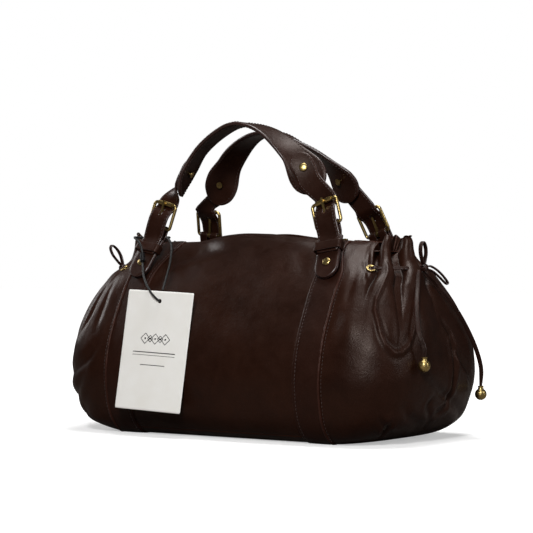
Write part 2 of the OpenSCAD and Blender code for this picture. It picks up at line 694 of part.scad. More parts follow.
// Path [x, y, z] of the string, through the hole of the card
TAG_STRING = [
  [-65.2, -96.6, 149], [-68, -88, 160], [-70, -78, 178], [-76, -68, 195], [-86, -61, 203],
  [-94.5, -52, 204.2], [-97.5, -44, 204], [-112, -39.5, 204], [-127.5, -43, 204],
  [-132.5, -53, 204.3], [-128.5, -64, 204], [-117, -70.5, 199], [-111, -73, 189],
  [-107, -77.5, 177], [-89, -97, 161], [-73, -107, 148], [-65.6, -105.8, 140.4],
  TAG_HOLE, [-63.4, -99, 137.4], [-64, -97.4, 143]];

module hang_tag() {
  color([0.93, 0.93, 0.9]) translate(TAG_HOLE)
    rotate([0, 0, 4]) rotate([-8.8, 0, 0]) rotate([0, 2.6, 0]) difference() {
      translate([-tag_w / 2, -tag_t / 2, 10 - tag_h]) cube([tag_w, tag_t, tag_h]);
      y_rod(2.2, 4);
    }
}
module tag_string() { color([0.05, 0.06, 0.06]) cord(TAG_STRING, 0.9, 3, [0.3, 0.2, 1]); }
// Plastic sleeve round the string, midway between two of its points
module tag_sleeve() {
  upper = TAG_STRING[12];
  lower = TAG_STRING[13];
  along = unit(upper - lower);
  u = unit(cross(along, [0, 1, 0]));
  color([0.03, 0.03, 0.03]) in_frame(u, cross(u, along), -along, (upper + lower) / 2)
    difference() {
      cylinder(r = 2.65, h = 9, center = true);
      cylinder(r = 2.1, h = 12, center = true);
    }
}

front_panel();
rear_panel();
base_panel();
left_end_panel();
right_end_panel();
left_body_band();
right_body_band();
seam_welts();
lining();
front_zip_facing();
rear_zip_facing();
zip_tapes();
zip_teeth();
zip_end_stops();
zip_slider();
zip_pull();
front_anchor_tabs();
rear_anchor_tabs();
keeper_loops();
tab_rivets();
strap_tails();
left_eyelets();
right_eyelets();
left_drawcord();
right_drawcord();
left_front_cord_tail();
left_rear_cord_tail();
right_front_cord_tail();
right_rear_cord_tail();
left_front_bead();
left_rear_bead();
right_front_bead();
right_rear_bead();
front_handle();
rear_handle();
front_buckle_straps();
rear_buckle_straps();
front_chapes();
rear_chapes();
front_handle_rivets();
rear_handle_rivets();
front_left_buckle();
front_right_buckle();
rear_left_buckle();
rear_right_buckle();
front_left_roller();
front_right_roller();
rear_left_roller();
rear_right_roller();
front_left_prong();
front_right_prong();
rear_left_prong();
rear_right_prong();
hang_tag();
tag_string();
tag_sleeve();
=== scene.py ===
# A dark brown leather handbag: a bowed body with gathered ends drawn in by flat laces, two
# handles on buckled straps, a brass zip along the mouth and a card tag on a string.
# The bag is long in x (right is +x), its front faces -y and it stands on z = 0.
# Shapes are worked out in millimetres; to_object turns them into metres.
import math

import bmesh
import bpy
import numpy as np
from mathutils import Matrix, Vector


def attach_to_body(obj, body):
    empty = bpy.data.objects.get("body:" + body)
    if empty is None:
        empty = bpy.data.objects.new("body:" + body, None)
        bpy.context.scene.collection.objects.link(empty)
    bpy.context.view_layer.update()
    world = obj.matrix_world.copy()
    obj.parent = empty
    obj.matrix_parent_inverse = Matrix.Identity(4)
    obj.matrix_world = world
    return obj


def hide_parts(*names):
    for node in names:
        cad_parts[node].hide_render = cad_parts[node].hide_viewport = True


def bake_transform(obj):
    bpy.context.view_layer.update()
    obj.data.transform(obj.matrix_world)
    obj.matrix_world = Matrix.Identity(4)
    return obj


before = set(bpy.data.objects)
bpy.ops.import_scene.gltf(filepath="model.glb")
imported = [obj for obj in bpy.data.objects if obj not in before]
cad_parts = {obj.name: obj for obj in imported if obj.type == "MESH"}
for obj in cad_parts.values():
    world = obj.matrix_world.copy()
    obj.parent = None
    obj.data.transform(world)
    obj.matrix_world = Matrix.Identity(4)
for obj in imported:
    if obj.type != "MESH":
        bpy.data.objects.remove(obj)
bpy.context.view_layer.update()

MM = 0.001
DETAIL = 1.0
LEFT, RIGHT = -1, 1
FRONT, REAR = -1, 1
SIDES = {LEFT: "left", RIGHT: "right"}
FACES = {FRONT: "front", REAR: "rear"}

# ---------------------------------------------------------------- body shape
# Up the profile: height, half depth in y, reach of the end beyond the seam, roundness exponent.
PROFILE = np.array([
    [0, 70, 3, 2.6], [1.4, 79, 24, 2.6], [7.5, 89, 47, 2.7], [22, 99, 67, 2.8],
    [42, 104.5, 76, 3], [66, 106, 82, 3], [97, 100, 79, 3], [126, 88, 71, 2.8],
    [157, 72, 58, 2.2], [178, 57, 50, 1.6], [192, 44, 51, 1.4], [203, 32, 52, 1.35],
    [208, 22, 50, 1.35]], float)
PROFILE_STEPS = len(PROFILE) - 1
MOUTH_Z = 208.0
SEAM_X = 132.0       # half length of the body between its end seams
BAND_W = 30.0        # width of the bands beside those seams
SWELL = 3.0          # outward bow of the front and rear
DROP = 9.0           # fall of the mouth towards its ends
EYE_ANGLE = 58.0     # where the laces enter the ends: direction and profile place
EYE_PROFILE = 0.735


def scaled(count):
    return int(count * DETAIL)


def grid(first, second):
    return np.meshgrid(first, second, indexing="ij")


def smooth(value):
    value = np.clip(value, 0, 1)
    return value * value * (3 - 2 * value)


def mix(start, end, share):
    return start + (end - start) * share


def hump(value, centre, width):
    return np.exp(-((value - centre) / width) ** 2)


def unit(vectors):
    vectors = np.asarray(vectors, float)
    return vectors / np.maximum(1e-9, np.linalg.norm(vectors, axis=-1, keepdims=True))


def spline(points, place):
    """Catmull-Rom curve through the points; place runs from 0 to 1."""
    points = np.asarray(points, float)
    last = len(points) - 1
    place = np.clip(np.asarray(place, float) * last, 0, last - 1e-6)
    i = np.floor(place).astype(int)
    f = (place - i)[..., None]
    a, b = points[np.maximum(0, i - 1)], points[i]
    c, d = points[i + 1], points[np.minimum(last, i + 2)]
    return 0.5 * (2 * b + (c - a) * f + (2 * a - 5 * b + 4 * c - d) * f * f
                  + (3 * b - a - 3 * c + d) * f * f * f)


def neck(z):
    """How far the body has narrowed towards its mouth, 0 to 1."""
    return smooth((z - 165) / 40)


def seam_x(z):
    return SEAM_X - 16 * neck(z)


def band_x(z):
    return seam_x(z) - BAND_W + 6 * neck(z)


def sag(x, z):
    return z - DROP * smooth(np.abs(x) / 118) * (np.maximum(0, z) / MOUTH_Z) ** 5


def middle_point(x, profile, face):
    """Front or rear surface at station x and profile place 0 to 1."""
    row = spline(PROFILE, profile)
    bow = SWELL * (1 - (x / SEAM_X) ** 2) * np.sin(np.pi * np.clip(profile, 0, 1)) ** 2
    return np.stack([x, face * (row[..., 1] + bow), sag(x, row[..., 0])], -1)


def end_point(angle, profile, side):
    """Gathered end at a plan direction in degrees, -90 front to 90 rear."""
    z, depth, reach, power = np.moveaxis(spline(PROFILE, profile), -1, 0)
    cos, sin = np.abs(np.cos(np.radians(angle))), np.abs(np.sin(np.radians(angle)))
    radius = 1 / (cos ** power + sin ** power) ** (1 / power)
    x = seam_x(z) + 0.4 + reach * radius * cos
    return np.stack([side * x, np.sign(angle) * depth * radius * sin, sag(x, z)], -1)


# ---------------------------------------------------------------- relief of the leather
RANDOM = np.random.RandomState(11)
WAVE_COUNT = 12
WAVE_SETS = {}


def waves(points, size):
    """Smooth seeded undulation, about -1 to 1, with features of the given size."""
    if size not in WAVE_SETS:
        ways = unit(RANDOM.normal(size=(WAVE_COUNT, 3)))
        ways = ways * RANDOM.uniform(0.7, 1.4, (WAVE_COUNT, 1))
        WAVE_SETS[size] = ways, RANDOM.uniform(0, 6.283, WAVE_COUNT)
    ways, phases = WAVE_SETS[size]
    total = np.sin(points @ (ways.T * (6.283 / size)) + phases).sum(-1)
    return total / math.sqrt(WAVE_COUNT) * 0.8


def line_distance(u, v, points):
    """Distance to a polyline and how far along it, 0 to 1."""
    nearest = np.full(u.shape, 1e9)
    along = np.zeros(u.shape)
    count = len(points) - 1
    for i in range(count):
        (u0, v0), (u1, v1) = points[i], points[i + 1]
        du, dv = u1 - u0, v1 - v0
        share = np.clip(((u - u0) * du + (v - v0) * dv) / (du * du + dv * dv), 0, 1)
        distance = np.hypot(u - u0 - share * du, v - v0 - share * dv)
        closer = distance < nearest
        nearest = np.where(closer, distance, nearest)
        along = np.where(closer, (i + share) / count, along)
    return nearest, along


def crease(u, v, points, depth, width):
    """A narrow valley with a soft roll along each side, fading at its ends."""
    distance, along = line_distance(u, v, points)
    fade = np.sin(np.pi * np.clip(along * 0.94 + 0.03, 0, 1)) ** 0.6
    roll = 0.3 * depth * hump(distance, 2.1 * width, 1.2 * width)
    return fade * (-depth * hump(distance, 0, width) + roll)


def mound(u, v, centre_u, centre_v, half_u, half_v, rise, turn):
    u, v = u - centre_u, v - centre_v
    cos, sin = math.cos(turn), math.sin(turn)
    return rise * np.exp(-((u * cos + v * sin) / half_u) ** 2
                         - ((-u * sin + v * cos) / half_v) ** 2)


def folds(across, z, creases, mounds, stretch=1.0):
    """Creases and mounds together; stretch turns the across coordinate into millimetres."""
    u = across * stretch
    total = np.zeros_like(u)
    for points, depth, width in creases:
        points = [(place * stretch, height) for place, height in points]
        total = total + crease(u, z, points, depth, width)
    for place, height, *shape in mounds:
        total = total + mound(u, z, place * stretch, height, *shape)
    return total


# Gather lobes: centre and half width, as directions at the mouth.
LOBES = {RIGHT: [(-33.5, 9.3), (0, 12), (27, 10), (50, 9)],
         LEFT: [(-38, 10), (-12, 10.5), (14, 11), (42, 11)]}
# Creases: points, depth and width; a negative depth is a ridge.
# On the ends a point is direction and height, on the middle it is x and height.
END_CREASES = {
    RIGHT: [
        ([(-40, 172), (-47, 156), (-53, 141), (-54, 130), (-52, 120), (-50, 108), (-47, 98),
          (-42, 91), (-38, 91), (-33, 97), (-28, 112), (-26, 122)], -1.7, 2.4),
        ([(3, 119), (8, 106), (8, 96), (8, 76), (7, 54), (6, 36), (-4, 28)], 3.4, 3.4),
        ([(8, 96), (14, 82), (24, 66), (34, 50)], 2.4, 3.6),
        ([(-46, 26), (-39, 15), (-28, 6)], 2.0, 3.2),
        ([(0, 10), (-14, 37), (-11, 45)], 1.6, 3.6),
        ([(-16, 63), (-4, 50), (10, 40), (26, 28), (38, 18)], 2.2, 4.2),
        ([(-34, 40), (-28, 28), (-14, 18), (2, 12)], 1.6, 4.6),
        ([(-39, 22), (-39, 14), (-38, 6)], 2.8, 3.4),
        ([(-66, 176), (-62, 166), (-57, 158)], 1.3, 3.6),
        ([(-58, 186), (-62, 172), (-66, 162)], -0.9, 3.0),
        ([(-74, 168), (-76, 150), (-75, 132)], 1.0, 6.5),
        ([(56, 168), (60, 140), (58, 112), (50, 92)], 2.2, 5.0),
        ([(36, 160), (42, 132), (44, 108)], 2.0, 4.6),
        ([(48, 84), (60, 62), (66, 40)], 1.8, 5.0)],
    LEFT: [
        ([(-42, 170), (-46, 146), (-47, 128), (-44, 108)], -2.4, 5.0),
        ([(-52, 166), (-57, 144), (-60, 120), (-58, 100)], 2.4, 4.4),
        ([(-68, 160), (-72, 134), (-74, 108)], 1.3, 5.0),
        ([(-80, 92), (-70, 74), (-58, 64), (-42, 58)], 1.8, 5.5),
        ([(-70, 62), (-58, 44), (-44, 32), (-30, 26)], 2.0, 5.0),
        ([(-54, 30), (-55, 16), (-54, 5)], 5.0, 3.6),
        ([(-24, 160), (-26, 132), (-20, 104)], 2.4, 4.6),
        ([(-4, 150), (2, 122), (12, 92), (20, 70)], 3.0, 4.8),
        ([(18, 160), (24, 132), (22, 108)], 2.0, 4.6),
        ([(38, 158), (46, 128), (48, 100)], 2.2, 4.8),
        ([(58, 160), (64, 132), (60, 104)], 1.8, 5.0),
        ([(-16, 70), (4, 46), (24, 26)], 2.2, 4.6),
        ([(40, 80), (54, 56), (62, 34)], 1.8, 5.0)]}
MIDDLE_CREASES = {
    FRONT: [
        ([(-96, 168), (-82, 178), (-64, 186), (-44, 188)], 2.0, 6.5),
        ([(-60, 199), (-44, 192), (-26, 190)], 1.2, 5.0),
        ([(62, 190), (78, 178), (90, 164)], 1.0, 7.0),
        ([(-84, 60), (-50, 48), (-10, 44)], 0.7, 9.0),
        ([(20, 34), (60, 42), (92, 60)], 0.7, 9.0)],
    REAR: [
        ([(-88, 176), (-60, 184), (-34, 180)], 1.6, 7.0),
        ([(40, 190), (66, 182), (90, 166)], 1.5, 7.0),
        ([(-70, 56), (-20, 46), (30, 50)], 0.8, 9.0)]}
# Mounds: direction or x, height, the two half sizes, rise, turn in radians.
END_MOUNDS = {
    RIGHT: [(-41, 120, 15, 22, 2.6, 0), (-72, 117, 17, 17, 2.4, 0.4),
            (-18, 119, 15, 20, 2.4, 0.2), (-60, 60, 34, 20, 1.2, 0),
            (30, 96, 26, 26, 2.2, 0), (62, 92, 26, 30, 1.6, 0)],
    LEFT: [(-62, 92, 26, 22, 2.6, 0), (-48, 46, 30, 16, 2.0, 0), (-66, 16, 20, 10, 2.2, 0),
           (-30, 116, 22, 26, 2.4, 0), (12, 60, 30, 24, 1.8, 0), (40, 112, 24, 30, 2.0, 0)]}
MIDDLE_MOUNDS = {
    FRONT: [(-66, 196, 26, 13, -4.6, -0.25), (-22, 200, 26, 9, 1.4, 0),
            (84, 198, 15, 12, -2.4, 0)],
    REAR: [(40, 196, 30, 13, -3.0, 0.2)]}
# Strength of the gathers against height.
GATHER_Z = [62, 85, 110, 140, 160, 178, 196, 208]
GATHER_DEPTH = [0, 0.3, 1.0, 2.5, 4.2, 5.6, 6.6, 6.8]
EYE_CALM = 10        # radius around each lace eye where the relief dies away


def gather(angle, z, side):
    """Pleats, 1 on a rounded lobe and 0 in a gap, and the window they fade out in."""
    drift = np.interp(z, [100, 130, 156, 178, 197], [-20, -18, -14, -4, 0])
    shifted = angle - drift * smooth((45 - angle) / 60)
    widen = np.interp(z, [110, 150, 178], [1.5, 1.2, 1.0])
    lobes = np.zeros_like(shifted)
    for i, (centre, half) in enumerate(LOBES[side]):
        lobe = np.clip(1 - np.abs((shifted - centre) / (half * widen)) ** 2.4, 0, 1) ** 0.5
        lobes = np.maximum(lobes, lobe * (1 + 0.1 * math.sin(2.3 * i + side)))
    margin = 0.55 * smooth((-46 - shifted) / 5) + 0.55 * smooth((shifted - 60) / 5)
    window = smooth((angle + 64) / 10) * smooth((72 - angle) / 10)
    return np.maximum(lobes, margin), window


def off_ground(z):
    """Keeps the underside flat."""
    return smooth((z - 1.5) / 16)


def middle_relief(points, face):
    x, z = points[..., 0], points[..., 2]
    height = 0.9 * waves(points, 120) + 0.2 * waves(points, 38) + 0.03 * waves(points, 13)
    height = height + folds(x, z, MIDDLE_CREASES[face], MIDDLE_MOUNDS[face])
    height = height * (1 - 0.55 * smooth((np.abs(x) - 92) / 12))
    return height * off_ground(z)


def end_relief(points, angle, side):
    z = points[..., 2]
    inland = smooth((90 - np.abs(angle)) / 12)  # 0 on the seams
    height = (0.9 * waves(points, 120) + 0.16 * waves(points, 38)) * (0.6 + 0.6 * inland)
    height = height + 0.1 * inland * waves(points, 19)
    folded = folds(angle, z, END_CREASES[side], END_MOUNDS[side], stretch=2.1)
    lobe, window = gather(angle, z, side)
    pleats = np.interp(z, GATHER_Z, GATHER_DEPTH) * window * (1.95 * lobe - 1.3)
    cinch = -0.9 * window * hump(z, 178, 8) * (0.2 + lobe)
    puckers = 0.45 * hump(np.abs(angle), 86, 5) * np.sin(z / 5.2 + 3 * np.sin(z / 31)) * inland
    height = height + folded * (0.35 + 0.65 * inland) + pleats + cinch + puckers
    return height * off_ground(z)


def eye_calm(points):
    calm = np.ones(points.shape[:-1])
    for side in SIDES:
        for face in FACES:
            eye = end_point(EYE_ANGLE * face, EYE_PROFILE, side)
            calm = calm * (1 - hump(np.linalg.norm(points - eye, axis=-1), 0, EYE_CALM))
    return calm


# ---------------------------------------------------------------- mesh building
# A piece is (vertices, faces) or (vertices, faces, material slot of each face).
def to_object(name, piece, materials, fix_normals=True):
    verts, faces, *slots = piece
    mesh = bpy.data.meshes.new(name)
    mesh.from_pydata((np.asarray(verts, float) * MM).tolist(), [],
                     [tuple(int(i) for i in face) for face in faces])
    for material in materials:
        mesh.materials.append(material)
    if slots:
        mesh.polygons.foreach_set("material_index", np.asarray(slots[0], np.int32))
    if fix_normals:
        edit = bmesh.new()
        edit.from_mesh(mesh)
        bmesh.ops.recalc_face_normals(edit, faces=edit.faces)
        edit.to_mesh(mesh)
        edit.free()
    mesh.polygons.foreach_set("use_smooth", [True] * len(mesh.polygons))
    mesh.update()
    obj = bpy.data.objects.new(name, mesh)
    bpy.context.scene.collection.objects.link(obj)
    return obj


def attach(obj, body, node=None):
    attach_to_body(obj, body)
    if node:
        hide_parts(node)


def add_piece(name, piece, materials, body="root", node=None, fix_normals=True):
    attach(to_object(name, piece, materials, fix_normals), body, node)


def join(pieces):
    verts, faces, slots = [], [], []
    offset = 0
    for piece_verts, piece_faces, *piece_slots in pieces:
        verts.append(np.asarray(piece_verts, float))
        faces += [tuple(int(i) + offset for i in face) for face in piece_faces]
        slots += list(piece_slots[0]) if piece_slots else [0] * len(piece_faces)
        offset += len(piece_verts)
    return np.concatenate(verts), faces, slots


def grid_normals(points, centre):
    """Unit normals of a grid of points, turned away from the centre."""
    normals = unit(np.cross(np.gradient(points, axis=0), np.gradient(points, axis=1)))
    return normals * np.sign(np.sum(normals * (points - centre), axis=-1).mean())


def shell(points, normals, thickness):
    """Closed sheet behind a grid, with rounded rims; its back takes material slot 2."""
    rows, cols = points.shape[:2]
    back = points - normals * thickness
    index = np.arange(rows * cols).reshape(rows, cols)
    loop = [(i, 0) for i in range(rows)]
    loop += [(rows - 1, j) for j in range(1, cols)]
    loop += [(i, cols - 1) for i in range(rows - 2, -1, -1)]
    loop += [(0, j) for j in range(cols - 2, 0, -1)]
    rim = []
    for i, j in loop:
        outward = np.zeros(3)
        for on_rim, inner in ((i == 0, (1, j)), (i == rows - 1, (rows - 2, j)),
                              (j == 0, (i, 1)), (j == cols - 1, (i, cols - 2))):
            if on_rim:
                outward = outward + unit(points[i, j] - points[inner])
        rim.append((points[i, j] + back[i, j]) / 2 + unit(outward) * thickness * 0.42)
    verts = np.concatenate([points.reshape(-1, 3), back.reshape(-1, 3), np.array(rim)])
    count = rows * cols
    quads = np.stack([index[:-1, :-1], index[:-1, 1:], index[1:, 1:], index[1:, :-1]], -1)
    quads = quads.reshape(-1, 4)
    outer = np.array([index[i, j] for i, j in loop])
    outer_next = np.roll(outer, -1)
    middle = np.arange(len(loop)) + 2 * count
    middle_next = np.roll(middle, -1)
    faces = [quads, quads[:, ::-1] + count,
             np.stack([outer, middle, middle_next, outer_next], -1),
             np.stack([middle, outer + count, outer_next + count, middle_next], -1)]
    slots = np.repeat([0, 2, 0], [len(quads), len(quads), 2 * len(loop)])
    return verts, np.concatenate(faces), slots


def loft(rings, closed=False):
    """Skin over rings of points: capped at both ends, or closed into a loop."""
    rows, count = rings.shape[:2]
    i = np.arange(rows if closed else rows - 1)[:, None] * count
    above = (i + count) % (rows * count)
    j = np.arange(count)[None]
    beside = (j + 1) % count
    quads = np.stack([i + j, i + beside, above + beside, above + j], -1)
    faces = [tuple(face) for face in quads.reshape(-1, 4)]
    if not closed:
        faces += [tuple(range(count))[::-1], tuple((rows - 1) * count + k for k in range(count))]
    return rings.reshape(-1, 3), faces


def tube(path, radius, sides, ref=(0.31, 0.52, 0.8)):
    path = np.asarray(path, float)
    tangents = unit(np.gradient(path, axis=0))
    radius = np.broadcast_to(np.asarray(radius, float), (len(path),))[:, None, None]
    axis = unit(np.cross(tangents[0], ref))
    axes = []
    for tangent in tangents:
        axis = unit(axis - tangent * (axis @ tangent))
        axes.append(axis)
    axes = np.array(axes)
    others = np.cross(tangents, axes)
    turn = np.linspace(0, 2 * np.pi, sides, endpoint=False)[None, :, None]
    return loft(path[:, None] + radius * (np.cos(turn) * axes[:, None]
                                          + np.sin(turn) * others[:, None]))


def strip_normals(centres, widths):
    return unit(np.cross(unit(np.gradient(centres, axis=0)), widths))


def band_strip(centres, widths, halves, thickness, crown, columns=9):
    """Strap with softly rounded edges in slot 1. Returns the piece and its face normals."""
    centres = np.asarray(centres, float)
    widths = unit(widths)
    normals = strip_normals(centres, widths)
    halves = np.asarray(halves, float)
    half_thick = np.full(halves.shape, float(thickness)) / 2
    # section points: place across, place through the thickness, bulge of the edge
    across = np.linspace(-1, 1, columns)
    section = [(v, 1, 0) for v in across]
    section += [(1, 0.62, 0.75), (1, 0, 1.0), (1, -0.62, 0.75)]
    section += [(v, -1, 0) for v in across[::-1]]
    section += [(-1, -0.62, 0.75), (-1, 0, 1.0), (-1, 0.62, 0.75)]
    inner = np.maximum(halves - half_thick * 0.7, halves * 0.55)
    bulge = np.minimum(half_thick * 0.7, halves * 0.45)
    rings = []
    for v, through, out in section:
        offset = v * inner + np.sign(v) * out * bulge
        dome = crown * (1 - v * v) if through > 0 else 0
        rise = through * half_thick + dome * np.minimum(1, halves / 6)
        rings.append(centres + widths * offset[:, None] + normals * rise[:, None])
    verts, faces = loft(np.stack(rings, 1))
    bulges = [point[2] for point in section]
    kinds = [1 if one or two else 0 for one, two in zip(bulges, bulges[1:] + bulges[:1])]
    return (verts, faces, kinds * (len(centres) - 1) + [1, 1]), normals


def arc_lengths(path):
    steps = np.linalg.norm(np.diff(path[:, :3], axis=0), axis=1)
    return np.concatenate([[0], np.cumsum(steps)])


def at_lengths(path, lengths):
    """Every column of a path, read at the given distances along it."""
    own = arc_lengths(path)
    return np.stack([np.interp(lengths, own, column) for column in path.T], 1)


def resample(path, count):
    return at_lengths(path, np.linspace(0, arc_lengths(path)[-1], count))


def stitches(path, normals, pitch=3.7, length=2.5, radius=0.34, skip=2.0):
    """A row of thread stitches along a path on a surface; skip is left bare at each end."""
    count = max(2, int((arc_lengths(path)[-1] - 2 * skip) / pitch))
    track = resample(np.concatenate([path, normals], 1), max(60, count * 6))
    total = arc_lengths(track)[-1]
    crest = radius - 0.12
    heights = np.array([-0.35, crest - 0.1, crest + 0.05, crest - 0.1, -0.35])
    radii = [radius * 0.55, radius, radius * 1.05, radius, radius * 0.55]
    parts = []
    for i in range(count):
        centre = skip + (i + 0.5) * pitch
        if centre > total - skip:
            break
        row = at_lengths(track, centre + length * np.array([-0.5, -0.36, 0, 0.36, 0.5]))
        normal = unit(row[:, 3:])
        parts.append(tube(row[:, :3] + normal * heights[:, None], radii, sides=6,
                          ref=normal[2] + [0.01, 0.02, 0.03]))
    return join(parts)


def rotate(vectors, axis, degrees):
    cos, sin = math.cos(math.radians(degrees)), math.sin(math.radians(degrees))
    first = ("xyz".index(axis) + 1) % 3
    second = (first + 1) % 3
    vectors = np.asarray(vectors, float)
    turned = vectors.copy()
    turned[..., first] = vectors[..., first] * cos - vectors[..., second] * sin
    turned[..., second] = vectors[..., first] * sin + vectors[..., second] * cos
    return turned


# ---------------------------------------------------------------- materials
def rgb(*channels):
    """sRGB 0-255 to linear."""
    shares = [channel / 255 for channel in channels]
    linear = [v / 12.92 if v <= 0.04045 else ((v + 0.055) / 1.055) ** 2.4 for v in shares]
    return (*linear, 1)


class Material:
    """A node material; its methods add a node and return the output socket."""

    def __init__(self, name):
        self.data = bpy.data.materials.new(name)
        self.data.use_nodes = True
        self.tree = self.data.node_tree
        self.bsdf = next(n for n in self.tree.nodes if n.type == "BSDF_PRINCIPLED")
        self.coords = self.add("ShaderNodeTexCoord").outputs["Object"]
        self.normal = None

    def add(self, kind, **properties):
        node = self.tree.nodes.new(kind)
        for key, value in properties.items():
            setattr(node, key, value)
        return node

    def put(self, socket, value):
        """Set a socket to a number or colour, or link an output to it."""
        if isinstance(value, (tuple, float, int)):
            socket.default_value = value
        else:
            self.tree.links.new(value, socket)

    def texture(self, kind, inputs, **properties):
        node = self.add(kind, **properties)
        for key, value in inputs.items():
            self.put(node.inputs[key], value)
        self.put(node.inputs["Vector"], self.coords)
        return node.outputs

    def noise(self, scale, detail=4, rough=0.55, distort=0.0):
        inputs = {"Scale": scale, "Detail": detail, "Roughness": rough, "Distortion": distort}
        return self.texture("ShaderNodeTexNoise", inputs)["Fac"]

    def cells(self, scale):
        return self.texture("ShaderNodeTexVoronoi", {"Scale": scale},
                            feature="SMOOTH_F1")["Distance"]

    def bands(self, direction, **inputs):
        return self.texture("ShaderNodeTexWave", inputs, wave_type="BANDS",
                            bands_direction=direction)["Fac"]

    def ramp(self, fac, *stops):
        """Colour ramp between two (position, colour) stops."""
        node = self.add("ShaderNodeValToRGB")
        for element, (position, colour) in zip(node.color_ramp.elements, stops):
            element.position = position
            element.color = colour
        self.put(node.inputs["Fac"], fac)
        return node.outputs["Color"]

    def remap(self, value, source, target):
        node = self.add("ShaderNodeMapRange")
        for key, number in zip(("From Min", "From Max", "To Min", "To Max"), source + target):
            node.inputs[key].default_value = number
        self.put(node.inputs["Value"], value)
        return node.outputs["Result"]

    def mix(self, fac, first, second):
        node = self.add("ShaderNodeMixRGB")
        for i, value in enumerate((fac, first, second)):
            self.put(node.inputs[i], value)
        return node.outputs[0]

    def math(self, operation, first, second):
        node = self.add("ShaderNodeMath", operation=operation)
        self.put(node.inputs[0], first)
        self.put(node.inputs[1], second)
        return node.outputs[0]

    def bump(self, height, strength, distance):
        """Add a bump on top of those already made."""
        node = self.add("ShaderNodeBump")
        node.inputs["Strength"].default_value = strength
        node.inputs["Distance"].default_value = distance
        self.put(node.inputs["Height"], height)
        if self.normal:
            self.put(node.inputs["Normal"], self.normal)
        self.normal = node.outputs["Normal"]
        self.put(self.bsdf.inputs["Normal"], self.normal)

    def set(self, **inputs):
        for key, value in inputs.items():
            self.put(self.bsdf.inputs[key.replace("_", " ")], value)


def leather(name, dark, mid, worn, rough=(0.33, 0.47), pores=1.0, wrinkle=1.0, wear=0.5):
    """Blotchy grained leather, rubbed pale on its ridges, with painted shade taking its folds to
    near black.
    """
    dark = rgb(*dark)
    m = Material(name)
    cloud = m.noise(scale=13, detail=3)
    blotch = m.noise(scale=75, detail=5, rough=0.6, distort=0.4)
    grain = m.cells(scale=880)
    fine = m.noise(scale=1900, detail=3, rough=0.6)
    creases = m.noise(scale=260, detail=5, rough=0.6, distort=1.2)
    tone = m.math("ADD", m.math("MULTIPLY", cloud, 0.65), m.math("MULTIPLY", blotch, 0.35))
    colour = m.ramp(tone, (0.34, dark), (0.66, rgb(*mid)))
    colour = m.mix(m.remap(grain, source=(0.05, 0.5), target=(0.16, 0.0)), colour, dark)
    pointiness = m.add("ShaderNodeNewGeometry").outputs["Pointiness"]
    ridge = m.remap(pointiness, source=(0.515, 0.60), target=(0.0, 1.0))
    ridge = m.math("MULTIPLY", ridge,
                   m.remap(blotch, source=(0.35, 0.6), target=(0.35 * wear, wear)))
    colour = m.mix(ridge, colour, rgb(*worn))
    # painted shade: concave folds and hollows darkened towards near black
    deep = m.remap(pointiness, source=(0.44, 0.492), target=(0.75, 0.0))
    colour = m.mix(deep, colour, (0.002, 0.001, 0.0007, 1))
    roughness = m.remap(blotch, source=(0.3, 0.7), target=rough)
    roughness = m.math("SUBTRACT", roughness, m.math("MULTIPLY", ridge, 0.06))
    m.set(Base_Color=colour, Roughness=roughness, Coat_Weight=0.0, Coat_Roughness=0.32,
          Specular_IOR_Level=0.19, Specular_Tint=(1.0, 0.84, 0.76, 1))
    m.bump(creases, strength=0.22 * wrinkle, distance=0.0012)
    m.bump(grain, strength=0.30 * pores, distance=0.00022)
    m.bump(fine, strength=0.18 * pores, distance=0.0001)
    return m.data


def brass(name, bright=(190, 166, 108), dull=(96, 80, 48), rough=(0.26, 0.4)):
    m = Material(name)
    spots = m.noise(scale=420, detail=6, rough=0.65, distort=0.3)
    cloud = m.noise(scale=90, detail=4)
    pointiness = m.add("ShaderNodeNewGeometry").outputs["Pointiness"]
    dirt = m.remap(pointiness, source=(0.40, 0.50), target=(0.6, 0.0))
    dirt = m.math("MAXIMUM", dirt, m.remap(spots, source=(0.55, 0.75), target=(0.0, 0.45)))
    shade = rgb(*[int(channel * 0.86) for channel in bright])
    metal = m.ramp(cloud, (0.35, shade), (0.65, rgb(*bright)))
    m.set(Base_Color=m.mix(dirt, metal, rgb(*dull)), Metallic=1.0,
          Roughness=m.remap(spots, source=(0.35, 0.7), target=rough))
    m.bump(m.noise(scale=900, detail=4, rough=0.6), strength=0.10, distance=0.0001)
    m.bump(m.noise(scale=160, detail=3, rough=0.5), strength=0.12, distance=0.0004)
    return m.data


def woven(name, dark, light, scale, weft="Z"):
    m = Material(name)
    dark = rgb(*dark)
    warp = m.bands("X", Scale=scale, Distortion=0.6, Detail=1)
    weft = m.bands(weft, Scale=scale, Distortion=0.6, Detail=1)
    weave = m.math("MULTIPLY", warp, weft)
    colour = m.mix(m.noise(scale=300, detail=4), m.mix(weave, dark, rgb(*light)), dark)
    m.set(Base_Color=colour, Roughness=0.85, Sheen_Weight=0.25)
    m.bump(weave, strength=0.5, distance=0.0003)
    return m.data


def edge_paint():
    m = Material("painted_edge")
    mottle = m.noise(scale=500, detail=5, rough=0.6)
    m.set(Base_Color=m.ramp(mottle, (0.35, rgb(34, 16, 12)), (0.65, rgb(52, 26, 20))),
          Roughness=m.remap(mottle, source=(0.3, 0.7), target=(0.3, 0.46)),
          Coat_Weight=0.3, Coat_Roughness=0.25)
    m.bump(m.noise(scale=260, detail=3), strength=0.3, distance=0.0004)
    return m.data


def thread(name, dark, light, sheen):
    m = Material(name)
    twist = m.bands("DIAGONAL", Scale=1100)
    m.set(Base_Color=m.mix(twist, rgb(*dark), rgb(*light)), Roughness=0.6, Sheen_Weight=sheen)
    m.bump(twist, strength=0.5, distance=0.0002)
    return m.data


